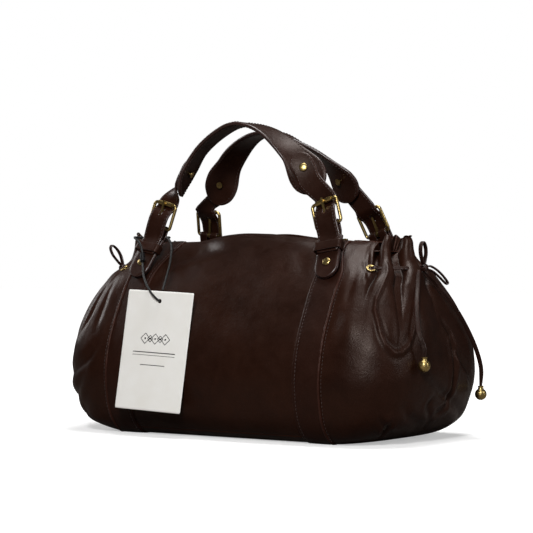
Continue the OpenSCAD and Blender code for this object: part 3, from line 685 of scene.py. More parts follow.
def card():
    m = Material("card_stock")
    fibre = m.noise(scale=900, detail=5, rough=0.7)
    cloud = m.noise(scale=40, detail=3)
    share = m.math("MULTIPLY", fibre, 0.3)
    white = m.ramp(cloud, (0.3, rgb(247, 246, 241)), (0.7, rgb(253, 253, 250)))
    m.set(Base_Color=m.mix(share, white, rgb(240, 237, 229)), Roughness=0.62)
    m.bump(fibre, strength=0.14, distance=0.0001)
    return m.data


def ink():
    m = Material("printed_ink")
    speckle = m.noise(scale=1500, detail=4, rough=0.7)
    m.set(Base_Color=m.ramp(speckle, (0.3, rgb(44, 44, 46)), (0.7, rgb(66, 66, 68))),
          Roughness=0.5)
    m.bump(speckle, strength=0.1, distance=0.00005)
    return m.data


def plastic():
    m = Material("black_sleeve")
    mottle = m.noise(scale=700, detail=3)
    m.set(Base_Color=m.ramp(mottle, (0.3, rgb(14, 14, 15)), (0.7, rgb(24, 24, 26))),
          Roughness=m.remap(mottle, source=(0.3, 0.7), target=(0.22, 0.36)))
    m.bump(mottle, strength=0.1, distance=0.0001)
    return m.data


BODY = leather("body_leather", dark=(29, 12, 6), mid=(42, 20, 11), worn=(70, 37, 27))
BAND = leather("band_leather", dark=(28, 11, 6), mid=(40, 18, 10), worn=(74, 39, 30),
               rough=(0.38, 0.52))
STRAP = leather("strap_leather", dark=(29, 12, 6), mid=(43, 21, 13), worn=(76, 42, 31),
                rough=(0.34, 0.48), wrinkle=0.8)
CORD = leather("cord_leather", dark=(22, 9, 6), mid=(38, 17, 11), worn=(72, 37, 28),
               rough=(0.42, 0.58), pores=0.6)
INNER = leather("flesh_side", dark=(28, 15, 10), mid=(42, 24, 17), worn=(60, 36, 27),
                rough=(0.7, 0.85), pores=1.5, wear=0.2)
# the piping is the body leather made lighter, a painted highlight along the raised welts
PIPING_PAINTED_HIGHLIGHT = leather("piping_leather_painted_highlight", dark=(31, 15, 10), mid=(50, 26, 19), worn=(84, 47, 38),
                 rough=(0.34, 0.46))
EDGE = edge_paint()
BRASS = brass("antique_brass")
BRASS_TOOTH = brass("zip_brass", bright=(150, 124, 70), dull=(60, 48, 28), rough=(0.3, 0.5))
LINING = woven("lining_twill", dark=(58, 46, 36), light=(84, 68, 54), scale=520,
               weft="DIAGONAL")
TAPE = woven("zip_tape", dark=(24, 18, 16), light=(42, 32, 28), scale=900)
THREAD = thread("sewing_thread", dark=(36, 19, 14), light=(60, 34, 26), sheen=0.15)
STRING = thread("waxed_string", dark=(5, 6, 6), light=(15, 17, 17), sheen=0.0)
CARD = card()
INK = ink()
PLASTIC = plastic()

# ---------------------------------------------------------------- body
BODY_CENTRE = np.array([0.0, 0.0, 95.0])
FLOOR_GAP = 0.05      # the leather never goes below this height
BASE_LEVEL = 0.4      # height of the base between the bands
BASE_TOP = 2.0 / PROFILE_STEPS       # profile place where the base ends
PANEL_BOTTOM = 2.05 / PROFILE_STEPS  # and where the panels begin
BAND_LIFT = 1.1       # how far the bands stand proud
STITCH_INSET = 3.2    # stitch row from the inner edge of a band


def add_sheet(name, points, normals, thickness, node, leather=BODY):
    add_piece(name, shell(points, normals, thickness), [leather, EDGE, INNER],
              node=node)


def middle_sheet(face, columns, bottom, top, rows, side=0):
    """Grid of the panel between the bands, or with a side, of the band there."""
    across, profile = grid(np.linspace(0, 1, columns), np.linspace(bottom, top, rows))
    z = spline(PROFILE, profile)[..., 0]
    inner, outer = band_x(z), seam_x(z)
    x = side * mix(inner, outer + 0.2, across) if side else mix(-inner, inner, across)
    points = middle_point(x, profile, face)
    normals = grid_normals(points, BODY_CENTRE)
    relief = middle_relief(points, face)
    if side:
        lift = BAND_LIFT * (0.55 + 0.45 * smooth(across / 0.06))
        groove = 0.35 * hump(across * BAND_W, STITCH_INSET, 1.1)
        relief = relief + lift + 0.25 * np.sin(np.pi * across) - groove
    else:
        relief = relief - 0.5 * np.exp(-((1 - np.abs(2 * across - 1)) * inner / 2.5))
    relief = relief * (1 - 0.25 * np.exp(-((MOUTH_Z - z) / 4)))
    points = points + normals * relief[..., None]
    points[..., 2] = np.maximum(points[..., 2], FLOOR_GAP)
    return points


def hoop(side, columns, top, rows, floor_rows, level):
    """Sheet down the front, across the floor and up the rear."""
    front, rear = (middle_sheet(face, columns, 0.0, top, rows, side) for face in FACES)
    share = np.linspace(0, 1, floor_rows + 2)[1:-1]
    floor_part = front[:, :1] + (rear[:, :1] - front[:, :1]) * share[None, :, None]
    floor_part[..., 2] = level
    return np.concatenate([front[:, ::-1], floor_part, rear], 1)


def panels():
    for face, word in FACES.items():
        points = middle_sheet(face, scaled(190), PANEL_BOTTOM, 1, scaled(150))
        add_sheet(word + "_panel_leather", points, grid_normals(points, BODY_CENTRE), 2.0,
                  word + "_panel")


def base():
    points = hoop(0, scaled(120), BASE_TOP, 14, scaled(60), BASE_LEVEL)
    add_sheet("base_leather", points, grid_normals(points, np.array([0, 0, 60.0])), 1.9,
              "base_panel")


def bands():
    """The two bands; returns their stitch rows."""
    rows = []
    for side, word in SIDES.items():
        points = hoop(side, scaled(46), 1.0, scaled(150), scaled(60), FLOOR_GAP)
        normals = grid_normals(points, np.array([side * 117, 0, 95.0]))
        add_sheet(word + "_band_leather", points, normals, 2.0, word + "_body_band", BAND)
        row = int(round(STITCH_INSET / BAND_W * (points.shape[0] - 1)))
        rows.append(stitches(points[row], normals[row], skip=4))
    return rows


def gathered_end(side, word):
    angle, profile = grid(np.linspace(-90, 90, scaled(300)), np.linspace(0, 1, scaled(190)))
    points = end_point(angle, profile, side)
    z = points[..., 2].copy()
    centre = np.array([side * 110, 0, 90.0])
    relief = end_relief(points, angle, side) * eye_calm(points)
    lobe, window = gather(angle, z, side)
    points = points + grid_normals(points, centre) * relief[..., None]
    # ruffle above the cord: rounded tops of uneven height, valleys pulled down
    uneven = 1 + 0.1 * np.sin(angle * 0.13 + (1.0 if side > 0 else 2.6))
    points[..., 2] += (smooth((z - 180) / 22) * window
                       * (7.4 * smooth(lobe * 1.35) * uneven - 6.4))
    if side == LEFT:
        flare = smooth((z - 176) / 26) * window
        points[..., 2] += flare * 5.5
        points[..., 0] -= flare * 4.0
    points[..., 2] = np.maximum(points[..., 2], FLOOR_GAP)
    normals = grid_normals(points, centre)
    add_sheet(word + "_end_leather", points, normals, 1.7, word + "_end_panel")
    return points, normals


def piping(ends):
    """Welts over the end seams; returns the stitch rows beside them."""
    welts, rows = [], []
    count = scaled(220)
    for side, (points, normals) in ends.items():
        span = slice(int(0.06 * points.shape[1]), int(0.97 * points.shape[1]))
        for edge, row in ((0, 3), (-1, -4)):
            path = points[edge, span] + normals[edge, span] * 0.55 + np.array([-side * 0.3, 0, 0])
            radius = 1.35 + 0.12 * np.sin(path[:, 2] / 4.1) + 0.08 * np.sin(path[:, 2] / 1.7)
            radius = np.interp(np.linspace(0, 1, count), np.linspace(0, 1, len(radius)), radius)
            welts.append(tube(resample(path, count), radius, sides=12))
            rows.append(stitches(points[row, span], normals[row, span], skip=4, length=2.2))
    # the welts take the lighter leather, a painted highlight
    add_piece("seam_piping", join(welts), [PIPING_PAINTED_HIGHLIGHT], node="seam_welts")
    return rows


def body():
    panels()
    base()
    rows = bands()
    ends = {side: gathered_end(side, word) for side, word in SIDES.items()}
    rows += piping(ends)
    add_piece("body_stitching", join(rows), [THREAD])


body()

# ---------------------------------------------------------------- inside and closure
LINING_RINGS = 26
TEETH_SPAN = 109      # |x| where the zip facings begin to dip into the ends


def lining_ring(profile, inset):
    """Loop inside the body at a profile place, inset from its surface."""
    front = middle_point(np.linspace(-104, 104, 27), profile, FRONT)
    right = end_point(np.linspace(-84, 84, 29), profile, RIGHT)
    points = np.concatenate([front, right, front[::-1] * [1, -1, 1],
                             (right * [-1, 1, 1])[::-1]])
    tangents = unit(np.roll(points, -1, 0) - np.roll(points, 1, 0))
    outward = unit(np.cross(tangents, [0, 0, 1]))
    lift = inset * 0.9 * np.interp(profile, [0, 0.12, 0.3], [1, 0.7, 0])
    near_end = smooth((np.abs(points[:, :1]) - 100) / 22)
    places = [0.3, 0.5, 0.62, 0.8]
    clearance = (np.interp(profile, places, [0, 2.5, 5.5, 6.5])
                 + near_end * np.interp(profile, places, [0, 2, 5, 6.5]))
    inset = inset * np.interp(profile, [0, 0.1], [1.5, 1])
    return points - outward * (inset + clearance) + [0, 0, lift]


def lining():
    """Double-walled cup, both layers closed at the bottom by a fan."""
    layers = []
    for inset in (3.4, 4.4):
        rings = [lining_ring(t, inset) for t in np.linspace(0.03, 0.8, LINING_RINGS)]
        for i, ring in enumerate(rings):
            ripple = np.sin(ring[:, :1] / 11 + i * 0.4)
            ring += ripple * np.array([0, 0.35, 0]) * np.sign(-ring[:, 1:2])
        layers.append(rings)
    count = len(layers[0][0])
    total = LINING_RINGS * count
    verts = np.concatenate([*layers[0], *layers[1], [layers[0][0].mean(0)],
                            [layers[1][0].mean(0)]])
    around = [(j, (j + 1) % count) for j in range(count)]
    faces = []
    for layer in (0, 1):
        start = layer * total
        for i in range(LINING_RINGS - 1):
            for j, beside in around:
                a, b = start + i * count + j, start + i * count + beside
                quad = (a, b, b + count, a + count)
                faces.append(quad if layer == 0 else (a, a + count, b + count, b))
        hub = 2 * total + layer
        for j, beside in around:
            faces.append((hub, start + beside, start + j) if layer == 0
                         else (hub, start + j, start + beside))
    for j, beside in around:
        a, b = total - count + j, total - count + beside
        faces.append((a, b, b + total, a + total))
    add_piece("lining_cup", (verts, faces), [LINING], node="lining")


def facing_outer_y(x):
    """Half depth of the outer edge of a zip facing."""
    z, depth, reach, power = spline(PROFILE, 0.86)
    share = np.clip((np.abs(x) - seam_x(z)) / reach, 0, 0.96)
    end_y = depth * (1 - share ** power) ** (1 / power) - 4.2
    into_end = smooth((np.abs(x) - TEETH_SPAN) / 9)
    return np.maximum(1.6, mix(20.6, np.minimum(24, end_y), into_end))


def zip_facings():
    rows = []
    columns = 22
    row = int(0.82 * columns)
    for face, word in FACES.items():
        x, inward = grid(np.linspace(-157, 157, scaled(220)), np.linspace(0, 1, columns))
        into_end = smooth((np.abs(x) - TEETH_SPAN) / 9)
        outer_z = mix(sag(x, MOUTH_Z - 1) - 1.4, 189, into_end)
        inner_z = mix(199.2, 189, into_end)
        y = mix(facing_outer_y(x), mix(6.2, 0.4, into_end), inward)
        z = (mix(outer_z, inner_z, inward) + 0.9 * np.sin(np.pi * inward) * (1 - into_end)
             + 0.35 * waves(np.stack([x, y, x * 0], -1), 40))
        z = z + (1 - into_end) * (0.5 * hump(inward, 1, 0.08) - 0.3 * hump(inward, 0.82, 0.05))
        points = np.stack([x, face * y, z], -1)
        normals = grid_normals(points, np.zeros(3))
        add_sheet(word + "_zip_facing_leather", points, normals, 1.3, word + "_zip_facing")
        sewn = np.abs(x[:, 0]) < 106
        rows.append(stitches(points[sewn, row], normals[sewn, row], pitch=3.4, length=2.3))
    add_piece("zip_facing_stitching", join(rows), [THREAD])


def zip_tapes():
    tapes = []
    for face in FACES:
        x, y = grid(np.linspace(-108, 108, 120), np.linspace(2.9, 11.7, 12))
        z = 196.85 + 0.12 * np.sin(x / 3.1) * hump(y, 4, 2) - 0.12 * hump(y, 5.2, 0.5)
        points = np.stack([x, face * y, z], -1)
        tapes.append(shell(points, grid_normals(points, np.zeros(3)), 0.7)[:2])
    add_piece("zip_tape_weave", join(tapes), [TAPE], node="zip_tapes")


lining()
zip_facings()
zip_tapes()

# ---------------------------------------------------------------- straps, tabs and handles
# From the end of a handle up to its middle: x, y, z, twist of the left and right half.
HANDLES = {
    FRONT: [
        [86, -32.8, 248, 58, 8], [81, -33.6, 258.5, 68, 15], [73.5, -34.6, 272.5, 77, 27],
        [62, -35, 287.5, 83.5, 45], [49, -35, 299.5, 87, 64], [33, -34.8, 310.5, 89, 78],
        [16, -34.6, 318, 90, 87], [0, -34.5, 321, 90, 90]],
    REAR: [
        [88, 31, 241, 0, 6], [83.5, 30, 250.5, 4, 14], [77, 28.5, 262.5, 12, 26],
        [66, 25, 277.5, 32, 44], [52, 20, 291, 54, 62], [35, 15.5, 303, 74, 78],
        [17, 12, 311.5, 86, 87], [0, 11, 314.5, 90, 90]]}
HANDLE_LEAN, HANDLE_LEAN_Z = 0.062, 177  # sideways shift per rise above a height
RIVET_PLACE = 0.715
STRAP_HALF, STRAP_T, STRAP_BUILT_T = 12.5, 2.0, 2.1
GRIP_W, PADDLE_W, GRIP_T = 27.0, 39.0, 4.0
TAB_HALF = 13.2
HEEL = 11.0           # height of the buckle's heel bar
# Flex points, where the straps bend: x and its shift, then half depth and height.
FLEX_X, FLEX_SHIFT = 111, -1.6
FLEX_DEPTH = {FRONT: 48.0, REAR: 49.0}
FLEX_Z = {FRONT: 204.0, REAR: 197.0}
# Angles of the buckles and anchor tabs in degrees.
BUCKLE_TILT = {(RIGHT, FRONT): 20.4, (RIGHT, REAR): 20.4, (LEFT, FRONT): -13.6, (LEFT, REAR): -5}
BUCKLE_LEAN = {FRONT: 10, REAR: 13}
TAB_TILT = 10
TAB_LEAN = {FRONT: 31, REAR: 32.8}
# Stations as (z, y) in the tab's or buckle's frame.
STRAP_AT_TAB = ((-20.5, -3.45), (-15, -3.6), (-9, -3.7), (-4, -4.1))
STRAP_AT_BUCKLE = ((3.2, -5.0), (11, -5.3), (17, -5.1), (23, -4.4), (28.5, -2), (33, 1.8),
                   (38, 4.5), (43, 4.3))
CHAPE_ARC = 2.75      # radius of the fold round the heel bar


def handle_stations(end, place):
    place = np.atleast_1d(np.asarray(place, float))
    return place, spline(HANDLES[end], 1 - np.abs(place))


def handle_point(end, place):
    """Centre line of a handle; place runs from -1 left to 1 right."""
    place, row = handle_stations(end, place)
    x = np.where(place < 0, -row[:, 0], row[:, 0])
    return np.stack([x - HANDLE_LEAN * (row[:, 2] - HANDLE_LEAN_Z), row[:, 1], row[:, 2]], 1)


def handle_tangent(end, place):
    return unit(handle_point(end, np.minimum(1, np.asarray(place) + 0.01))
                - handle_point(end, np.maximum(-1, np.asarray(place) - 0.01)))


def handle_width(end, place):
    """Width direction of a handle."""
    tangent = handle_tangent(end, place)
    place, row = handle_stations(end, place)
    twist = np.radians(np.where(place < 0, row[:, 3], row[:, 4]))[:, None]
    flat = unit(np.cross([0, 1, 0], tangent))
    upright = unit(np.cross(tangent, flat))
    return flat * np.cos(twist) + upright * np.sin(twist) * end


def round_end(distance, radius, least=0.5):
    """Half widths that close with a round end, by distance from the tip."""
    arc = np.sqrt(np.maximum(0, radius * radius - (radius - distance) ** 2))
    return np.where(distance < radius, np.maximum(least, arc), radius)


def handle_half(end, place):
    tips = np.where(place[:, None] < 0, handle_point(end, -1.0), handle_point(end, 1.0))
    distance = np.linalg.norm(handle_point(end, place) - tips, axis=1)
    radius = PADDLE_W / 2
    neck_half = mix(radius, GRIP_W / 2, smooth((distance - radius - 2) / 30))
    return np.where(distance < radius, round_end(distance, radius, 0.6), neck_half)


def from_flex(side, end, vectors, as_point):
    """From a flex point to the bag; as_point 0 treats the vectors as directions."""
    return np.stack([as_point * (side * FLEX_X + FLEX_SHIFT) + vectors[..., 0],
                     end * (as_point * FLEX_DEPTH[end] - vectors[..., 1]),
                     as_point * FLEX_Z[end] + vectors[..., 2]], -1)


def from_buckle(side, end, vectors, as_point=1):
    """From the buckle frame (z up the strap, -y outwards) to the bag."""
    turned = rotate(rotate(vectors, "y", -BUCKLE_TILT[side, end]), "x", -BUCKLE_LEAN[end])
    return from_flex(side, end, turned, as_point)


def from_tab(side, end, vectors, as_point=1):
    turned = rotate(rotate(vectors, "y", -TAB_TILT * side), "x", -TAB_LEAN[end])
    return from_flex(side, end, turned, as_point)


def rows_in(to_bag, side, end, stations):
    """Centre and width direction at each (z, y) station of a frame."""
    width = to_bag(side, end, [1, 0, 0], 0)
    return [np.concatenate([to_bag(side, end, [0, y, z]), width]) for z, y in stations]


def row_on_handle(side, end, place, lift):
    """Strap station lying on the outside of a handle."""
    point = handle_point(end, side * place)[0]
    width = handle_width(end, side * place)[0]
    outward = unit(np.cross(handle_tangent(end, side * place)[0], width))
    if outward[1] * end <= 0:
        outward = -outward
    return np.concatenate([point + outward * (GRIP_T / 2 + STRAP_T / 2 + lift), width * -side])


def boolean_cut(obj, cutters):
    for cutter in cutters:
        cut = obj.modifiers.new("cut", "BOOLEAN")
        cut.operation = "DIFFERENCE"
        cut.solver = "EXACT"
        cut.object = cutter
    graph = bpy.context.evaluated_depsgraph_get()
    mesh = bpy.data.meshes.new_from_object(obj.evaluated_get(graph))
    obj.modifiers.clear()
    obj.data = mesh
    for cutter in cutters:
        bpy.data.objects.remove(cutter)
    mesh.polygons.foreach_set("use_smooth", [True] * len(mesh.polygons))


def slot_cutter(near, far):
    """Closed prism between two outlines."""
    count = len(near)
    faces = [tuple(range(count))[::-1], tuple(range(count, 2 * count))]
    faces += [(i, (i + 1) % count, count + (i + 1) % count, count + i) for i in range(count)]
    return to_object("cutter", (np.concatenate([near, far]), faces), [EDGE])


def slot_outlines(side, end, centre_z, half_width, half_length, depths):
    """Outlines of a long slot at two depths of the buckle frame."""
    outline = []
    straight = half_length - half_width
    for turn in np.linspace(0, 2 * np.pi, 20, endpoint=False):
        x, z = half_width * math.cos(turn), half_width * math.sin(turn)
        outline.append((x, centre_z + z + (straight if z >= 0 else -straight)))
    return [from_buckle(side, end, [[x, y, z] for x, z in outline]) for y in depths]


def bunched(count):
    """0 to 1, closely spaced near 0."""
    return 1 - np.cos(np.linspace(0, np.pi / 2, count))


def dense_path(rows, count, round_first=0, round_last=0):
    """Samples of a spline and their distances, denser within a rounded end."""
    fine = spline(rows, np.linspace(0, 1, 600))
    total = arc_lengths(fine)[-1]
    lengths = np.linspace(0, total, count)
    if round_first:
        lengths = np.concatenate([round_first * bunched(14), lengths[lengths > round_first]])
    if round_last:
        lengths = np.concatenate([lengths[lengths < total - round_last],
                                  total - round_last * bunched(14)[::-1]])
    path = at_lengths(fine, lengths)
    return path[:, :3], unit(path[:, 3:]), lengths


def edge_stitches(centres, widths, halves, normals, thickness, inset, faces=(-1, 1), start=0,
                  **options):
    """Stitch rows along both edges of a strap, on the chosen faces."""
    rows = []
    sewn = halves > inset + 2
    sewn[:start] = False
    for edge in (-1, 1):
        for face in faces:
            path = (centres + widths * (edge * (halves - inset))[:, None]
                    + normals * face * (thickness / 2 + 0.05))
            rows.append(stitches(path[sewn], normals[sewn] * face, **options))
    return rows


def buckle_strap(side, end):
    rows = rows_in(from_tab, side, end, STRAP_AT_TAB)
    rows += rows_in(from_buckle, side, end, STRAP_AT_BUCKLE)
    # the left front strap lies further off its handle
    lifts = (2.5, 1.8) if side == LEFT and end == FRONT else (1.9, 1.1)
    for place, lift in zip((0.86, 0.78, RIVET_PLACE, 0.65, 0.59), lifts + (0.7, 0.7, 0.7)):
        rows.append(row_on_handle(side, end, place, lift))
    centres, widths, lengths = dense_path(rows, 96, round_last=STRAP_HALF)
    halves = round_end(lengths[-1] - lengths, STRAP_HALF)
    halves = np.where(lengths < 5, STRAP_HALF - 1.2 * (1 - lengths / 5) ** 2, halves)
    ripple = 0.35 * np.sin(lengths / 7.5 + side) * smooth(lengths / 20)
    centres = centres + strip_normals(centres, widths) * ripple[:, None]
    piece, normals = band_strip(centres, widths, halves, STRAP_BUILT_T, crown=0.3)
    return piece, edge_stitches(centres, widths, halves, normals, STRAP_BUILT_T, inset=2.6,
                                start=2)


def chape(side, end):
    """One strip folded round the heel bar of the buckle."""
    arc = tuple((HEEL + CHAPE_ARC * math.sin(turn), -CHAPE_ARC * math.cos(turn))
                for turn in np.linspace(0, math.pi, 9))
    rows = rows_in(from_tab, side, end, ((-7, -0.7), (-3.5, -0.9)))
    rows += rows_in(from_buckle, side, end,
                    ((2.5, -2.2), (6.5, -2.65), *arc, (6.5, 2.65), (2.5, 2.2)))
    rows += rows_in(from_tab, side, end, ((-3.5, 1.1), (-7, 0.9)))
    centres, widths, _ = dense_path(rows, 84)
    return band_strip(centres, widths, np.full(len(centres), 11.4), 1.5, crown=0.1)[0]


def anchor_tab(side, end):
    y, thickness = (0.1, 4.1) if end == FRONT else (-0.2, 3.6)
    rows = rows_in(from_tab, side, end, [(z, y) for z in np.linspace(-49.1, -1.6, 12)])
    centres, widths, lengths = dense_path(rows, 40, round_first=TAB_HALF)
    halves = round_end(lengths, TAB_HALF)
    piece, normals = band_strip(centres, widths, halves, thickness, crown=0.5)
    return piece, edge_stitches(centres, widths, halves, normals, thickness + 0.5, inset=2.4,
                                faces=(1,))


def blend_to_handle(obj):
    """Bake the piece's placement into its mesh."""
    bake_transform(obj)


def straps():
    for end, word in FACES.items():
        buckle_straps, strap_rows = zip(*[buckle_strap(side, end) for side in SIDES])
        chapes = [chape(side, end) for side in SIDES]
        tabs, tab_rows = zip(*[anchor_tab(side, end) for side in SIDES])
        add_piece(word + "_tabs_leather", join(tabs), [STRAP, EDGE],
                  node=word + "_anchor_tabs")
        strap_slots = [slot_outlines(side, end, centre_z=HEEL + 17, half_width=1.6,
                                     half_length=3.9, depths=(-10, 6)) for side in SIDES]
        chape_slots = [slot_outlines(side, end, centre_z=HEEL + 0.5, half_width=2.5,
                                     half_length=6.5, depths=(-8, 8)) for side in SIDES]
        for pieces, slots, name, nodes in (
                (buckle_straps, strap_slots, "_straps_leather",
                 [word + "_buckle_straps"] + ["strap_tails"] * (end == FRONT)),
                (chapes, chape_slots, "_chapes_leather", [word + "_chapes"])):
            obj = to_object(word + name, join(pieces), [STRAP, EDGE])
            boolean_cut(obj, [slot_cutter(*outlines) for outlines in slots])
            blend_to_handle(obj)
            for node in nodes:
                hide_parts(node)
        obj = to_object(word + "_strap_stitching", join(sum(strap_rows, [])), [THREAD])
        blend_to_handle(obj)
        add_piece(word + "_tab_stitching", join(sum(tab_rows, [])), [THREAD])


def keeper_loop(side, end):
    """Rounded rectangular loop of strip standing along the tab's z."""
    half_x, low_y, high_y, corner = 14.6, -6.3, 3.2, 2.4
    outline = []
    for x, y, start in ((half_x - corner, high_y - corner, 0),
                        (-half_x + corner, high_y - corner, 90),
                        (-half_x + corner, low_y + corner, 180),
                        (half_x - corner, low_y + corner, 270)):
        for turn in np.radians(np.linspace(start, start + 90, 7)):
            outline.append((x + corner * math.cos(turn), y + corner * math.sin(turn)))
    path = resample(np.array(outline + outline[:1]), 91)[:-1]
    tangents = unit(np.roll(path, -1, 0) - np.roll(path, 1, 0))
    section = []
    for turn in np.linspace(0, 2 * np.pi, 20, endpoint=False):
        cos, sin = math.cos(turn), math.sin(turn)
        section.append((math.copysign(abs(cos) ** 0.5, cos) * 0.75,
                        math.copysign(abs(sin) ** 0.35, sin) * 4.75))
    rings = np.array([[
        [x + tangent[1] * (out + 0.12 * math.sin(i / 6)), y - tangent[0] * out,
         -14.25 + up + 0.25 * math.sin(x / 9)]
        for out, up in section] for i, ((x, y), tangent) in enumerate(zip(path, tangents))])
    verts, faces = loft(rings, closed=True)
    rim = [abs(up) > 4.3 for _, up in section]
    kinds = [int(one and two) for one, two in zip(rim, rim[1:] + rim[:1])]
    return from_tab(side, end, verts), faces, kinds * len(path)


def keepers():
    loops = [keeper_loop(side, end) for side in SIDES for end in FACES]
    add_piece("keeper_loops_leather", join(loops), [STRAP, EDGE], node="keeper_loops")


def handles():
    tip = 0.14 * bunched(20)
    places = np.concatenate([-1 + tip, np.linspace(-0.85, 0.85, 150), 1 - tip[::-1]])
    for end, word in FACES.items():
        node = word + "_handle"
        centres, widths = handle_point(end, places), handle_width(end, places)
        halves = handle_half(end, places)
        ripple = 0.3 * np.sin(places * 17) * (1 - np.abs(places)) ** 0.5
        centres = centres + strip_normals(centres, widths) * ripple[:, None]
        piece, normals = band_strip(centres, widths, halves, 3.7, crown=0.35, columns=13)
        add_piece(node + "_leather", piece, [STRAP, EDGE], body=node, node=node)
        rows = edge_stitches(centres, widths, halves, normals, 3.9, inset=2.8, radius=0.26)
        add_piece(node + "_stitching", join(rows), [THREAD], body=node)


straps()
keepers()
handles()

# ---------------------------------------------------------------- drawstring ends
KNOT = np.array([191.5, -7, 172.5])  # the right one; the left is its mirror
# Hanging tails, from the knot down.
TAILS = {
    (LEFT, FRONT): [[-190, -12, 165], [-196, -15, 152], [-204.5, -18, 135],
                    [-214, -20, 112], [-221.5, -20, 97], [-222.5, -20, 89]],
    (LEFT, REAR): [[-191, -2, 165], [-198, 8, 152], [-207, 22, 132],
                   [-215, 38, 106], [-220.5, 46, 78], [-221, 46, 62]],
    (RIGHT, FRONT): [[189.5, -14.5, 166], [194, -24, 153], [202.5, -40, 135],
                     [212, -53, 112], [218, -53, 96], [218.5, -53, 86.5]],
    (RIGHT, REAR): [[190.5, -1, 165], [196, 14, 152], [205.5, 33, 130],
                    [214, 50, 100], [218, 60, 74], [216.5, 63, 53]]}
# Lace round an end: direction from an eye to the middle, and stand-off by |direction|.
CORD_ANGLES = [58, 56, 53.5, 50, 46, 41, 35, 28, 20, 12, 5, 0]
CORD_OFFSET = ([0, 44, 49, 53.5, 56, 58], [1.5, 1.2, 1.0, 2.2, 1.6, -1.5])
# The knot's two wraps: direction of the lace width, then the two axes of the ring.
WRAPS = (((0, 1, 0.25), (0, -0.25, 1), (1, 0, 0)), ((0, 0.5, -0.86), (0, 0.86, 0.5), (1, 0, 0)))
# Bow loops from the knot, for the right side.
LOOP_TOP = 20.2
UPPER_LOOP = np.array([
    (0, 0, 1), (0.6, -4.0, 6), (1.2, -6.6, 12), (1.2, -4.8, 17.5), (1.0, 0.4, LOOP_TOP),
    (0.6, 4.6, 17), (0.2, 5.2, 11.5), (-0.3, 2.6, 5.5), (-0.6, 0, 1)])
LOWER_LOOP = np.array([
    (0, 1, 0), (3.5, 5, 1.4), (7.5, 10, -1.6), (11.5, 15, -7), (15, 19, -13.5),
    (15.6, 19.4, -16.2), (13.6, 18, -15.4), (9.6, 13, -9.4), (5, 7, -3.4), (0, 1, -0.8)])
LOOP_TIP = {RIGHT: np.array([1, -6, 5]), LEFT: np.array([7.5, -8, 4])}  # lean of the upper loop


def lace(points, width, thickness, count, wide, taper=(1, 1)):
    """Flat lace along a smooth path; wide is its width direction, or a list along it."""
    path = resample(spline(points, np.linspace(0, 1, 400)), count)
    tangents = unit(np.gradient(path, axis=0))
    along = np.linspace(0, 1, count)
    wide = np.asarray(wide, float)
    wide = np.broadcast_to(wide, path.shape) if wide.ndim == 1 else spline(wide, along)
    widths = unit(wide - tangents * (wide * tangents).sum(1)[:, None])
    halves = (np.full(count, width / 2) * mix(taper[0], 1, smooth(along / 0.12))
              * mix(taper[1], 1, smooth((1 - along) / 0.12)))
    return band_strip(path, widths, halves, thickness, crown=0.22, columns=5)[0]


def cord(side):
    """The lace round an end, between its two eyes."""
    angles = np.array(CORD_ANGLES + [-angle for angle in CORD_ANGLES[-2::-1]], float)
    points = end_point(angles, EYE_PROFILE, side)
    around = (end_point(angles + 1.5, EYE_PROFILE, side)
              - end_point(angles - 1.5, EYE_PROFILE, side))
    upward = end_point(angles, 0.75, side) - end_point(angles, 0.72, side)
    normals = unit(np.cross(around, upward))
    outward = (normals * (points - np.array([side * 110, 0, 150]))).sum(1)
    normals = normals * np.sign(outward)[:, None]
    path = points + normals * np.interp(np.abs(angles), *CORD_OFFSET)[:, None]
    return lace(path, 4.4, 1.5, count=260, wide=unit(upward))


def bow(side):
    """Knot of two crossed wraps, one loop standing up and one falling outwards."""
    mirror = np.array([side, 1, 1])
    knot = KNOT * mirror
    turn = np.linspace(0, 2 * np.pi, 30)[:, None]
    parts = []
    for i, axes in enumerate(WRAPS):
        wide, tall, deep = (unit(axis) * mirror for axis in axes)
        ring = (knot + deep * 2.9 * np.cos(turn) + tall * (2.6 + 0.4 * i) * np.sin(turn)
                + wide * 0.5 * np.sin(2 * turn))
        parts.append(lace(ring, 5.0 - i, 1.7, count=44, wide=wide))
    lean = LOOP_TIP[side] * (UPPER_LOOP[:, 2:] / LOOP_TOP) ** 1.2
    parts.append(lace(knot + (UPPER_LOOP + lean) * mirror, 4.2, 1.4, count=110,
                      wide=[(side, y, 0) for y in (0, 0.2, 0.15, 0, 0)]))
    parts.append(lace(knot + LOWER_LOOP * mirror, 4.2, 1.4, count=110,
                      wide=[(side * 0.8, -0.6, z) for z in (0.2, 0.1, 0.2, 0)]))
    return parts


def tail(side, face):
    path = np.array(TAILS[side, face], float)
    path = np.concatenate([path[:1] + (path[:1] - path[1:2]) * 0.28, path,
                           path[-1:] + [[0, 0, -3.5]]])
    if side == RIGHT and face == FRONT:
        wide = (0.8, 0.55, 0.1)
    else:
        wide = [(0.3 * side, face * 0.9, 0), (0.5 * side, face * 0.85, 0.1),
                (0.75 * side, face * 0.5, 0.2), (0.8 * side, face * 0.4, 0),
                (0.8 * side, face * 0.4, 0)]
    return lace(path, 4.5, 1.6, count=150, wide=wide, taper=(0.75, 0.6))


def drawstrings():
    for side, word in SIDES.items():
        add_piece(word + "_drawcord_lace", join([cord(side)] + bow(side)), [CORD, EDGE],
                  node=word + "_drawcord")
        for face, face_word in FACES.items():
            node = f"{word}_{face_word}_cord_tail"
            add_piece(f"{word}_{face_word}_lace_tail", tail(side, face), [CORD, EDGE],
                      body=node, node=node)


drawstrings()

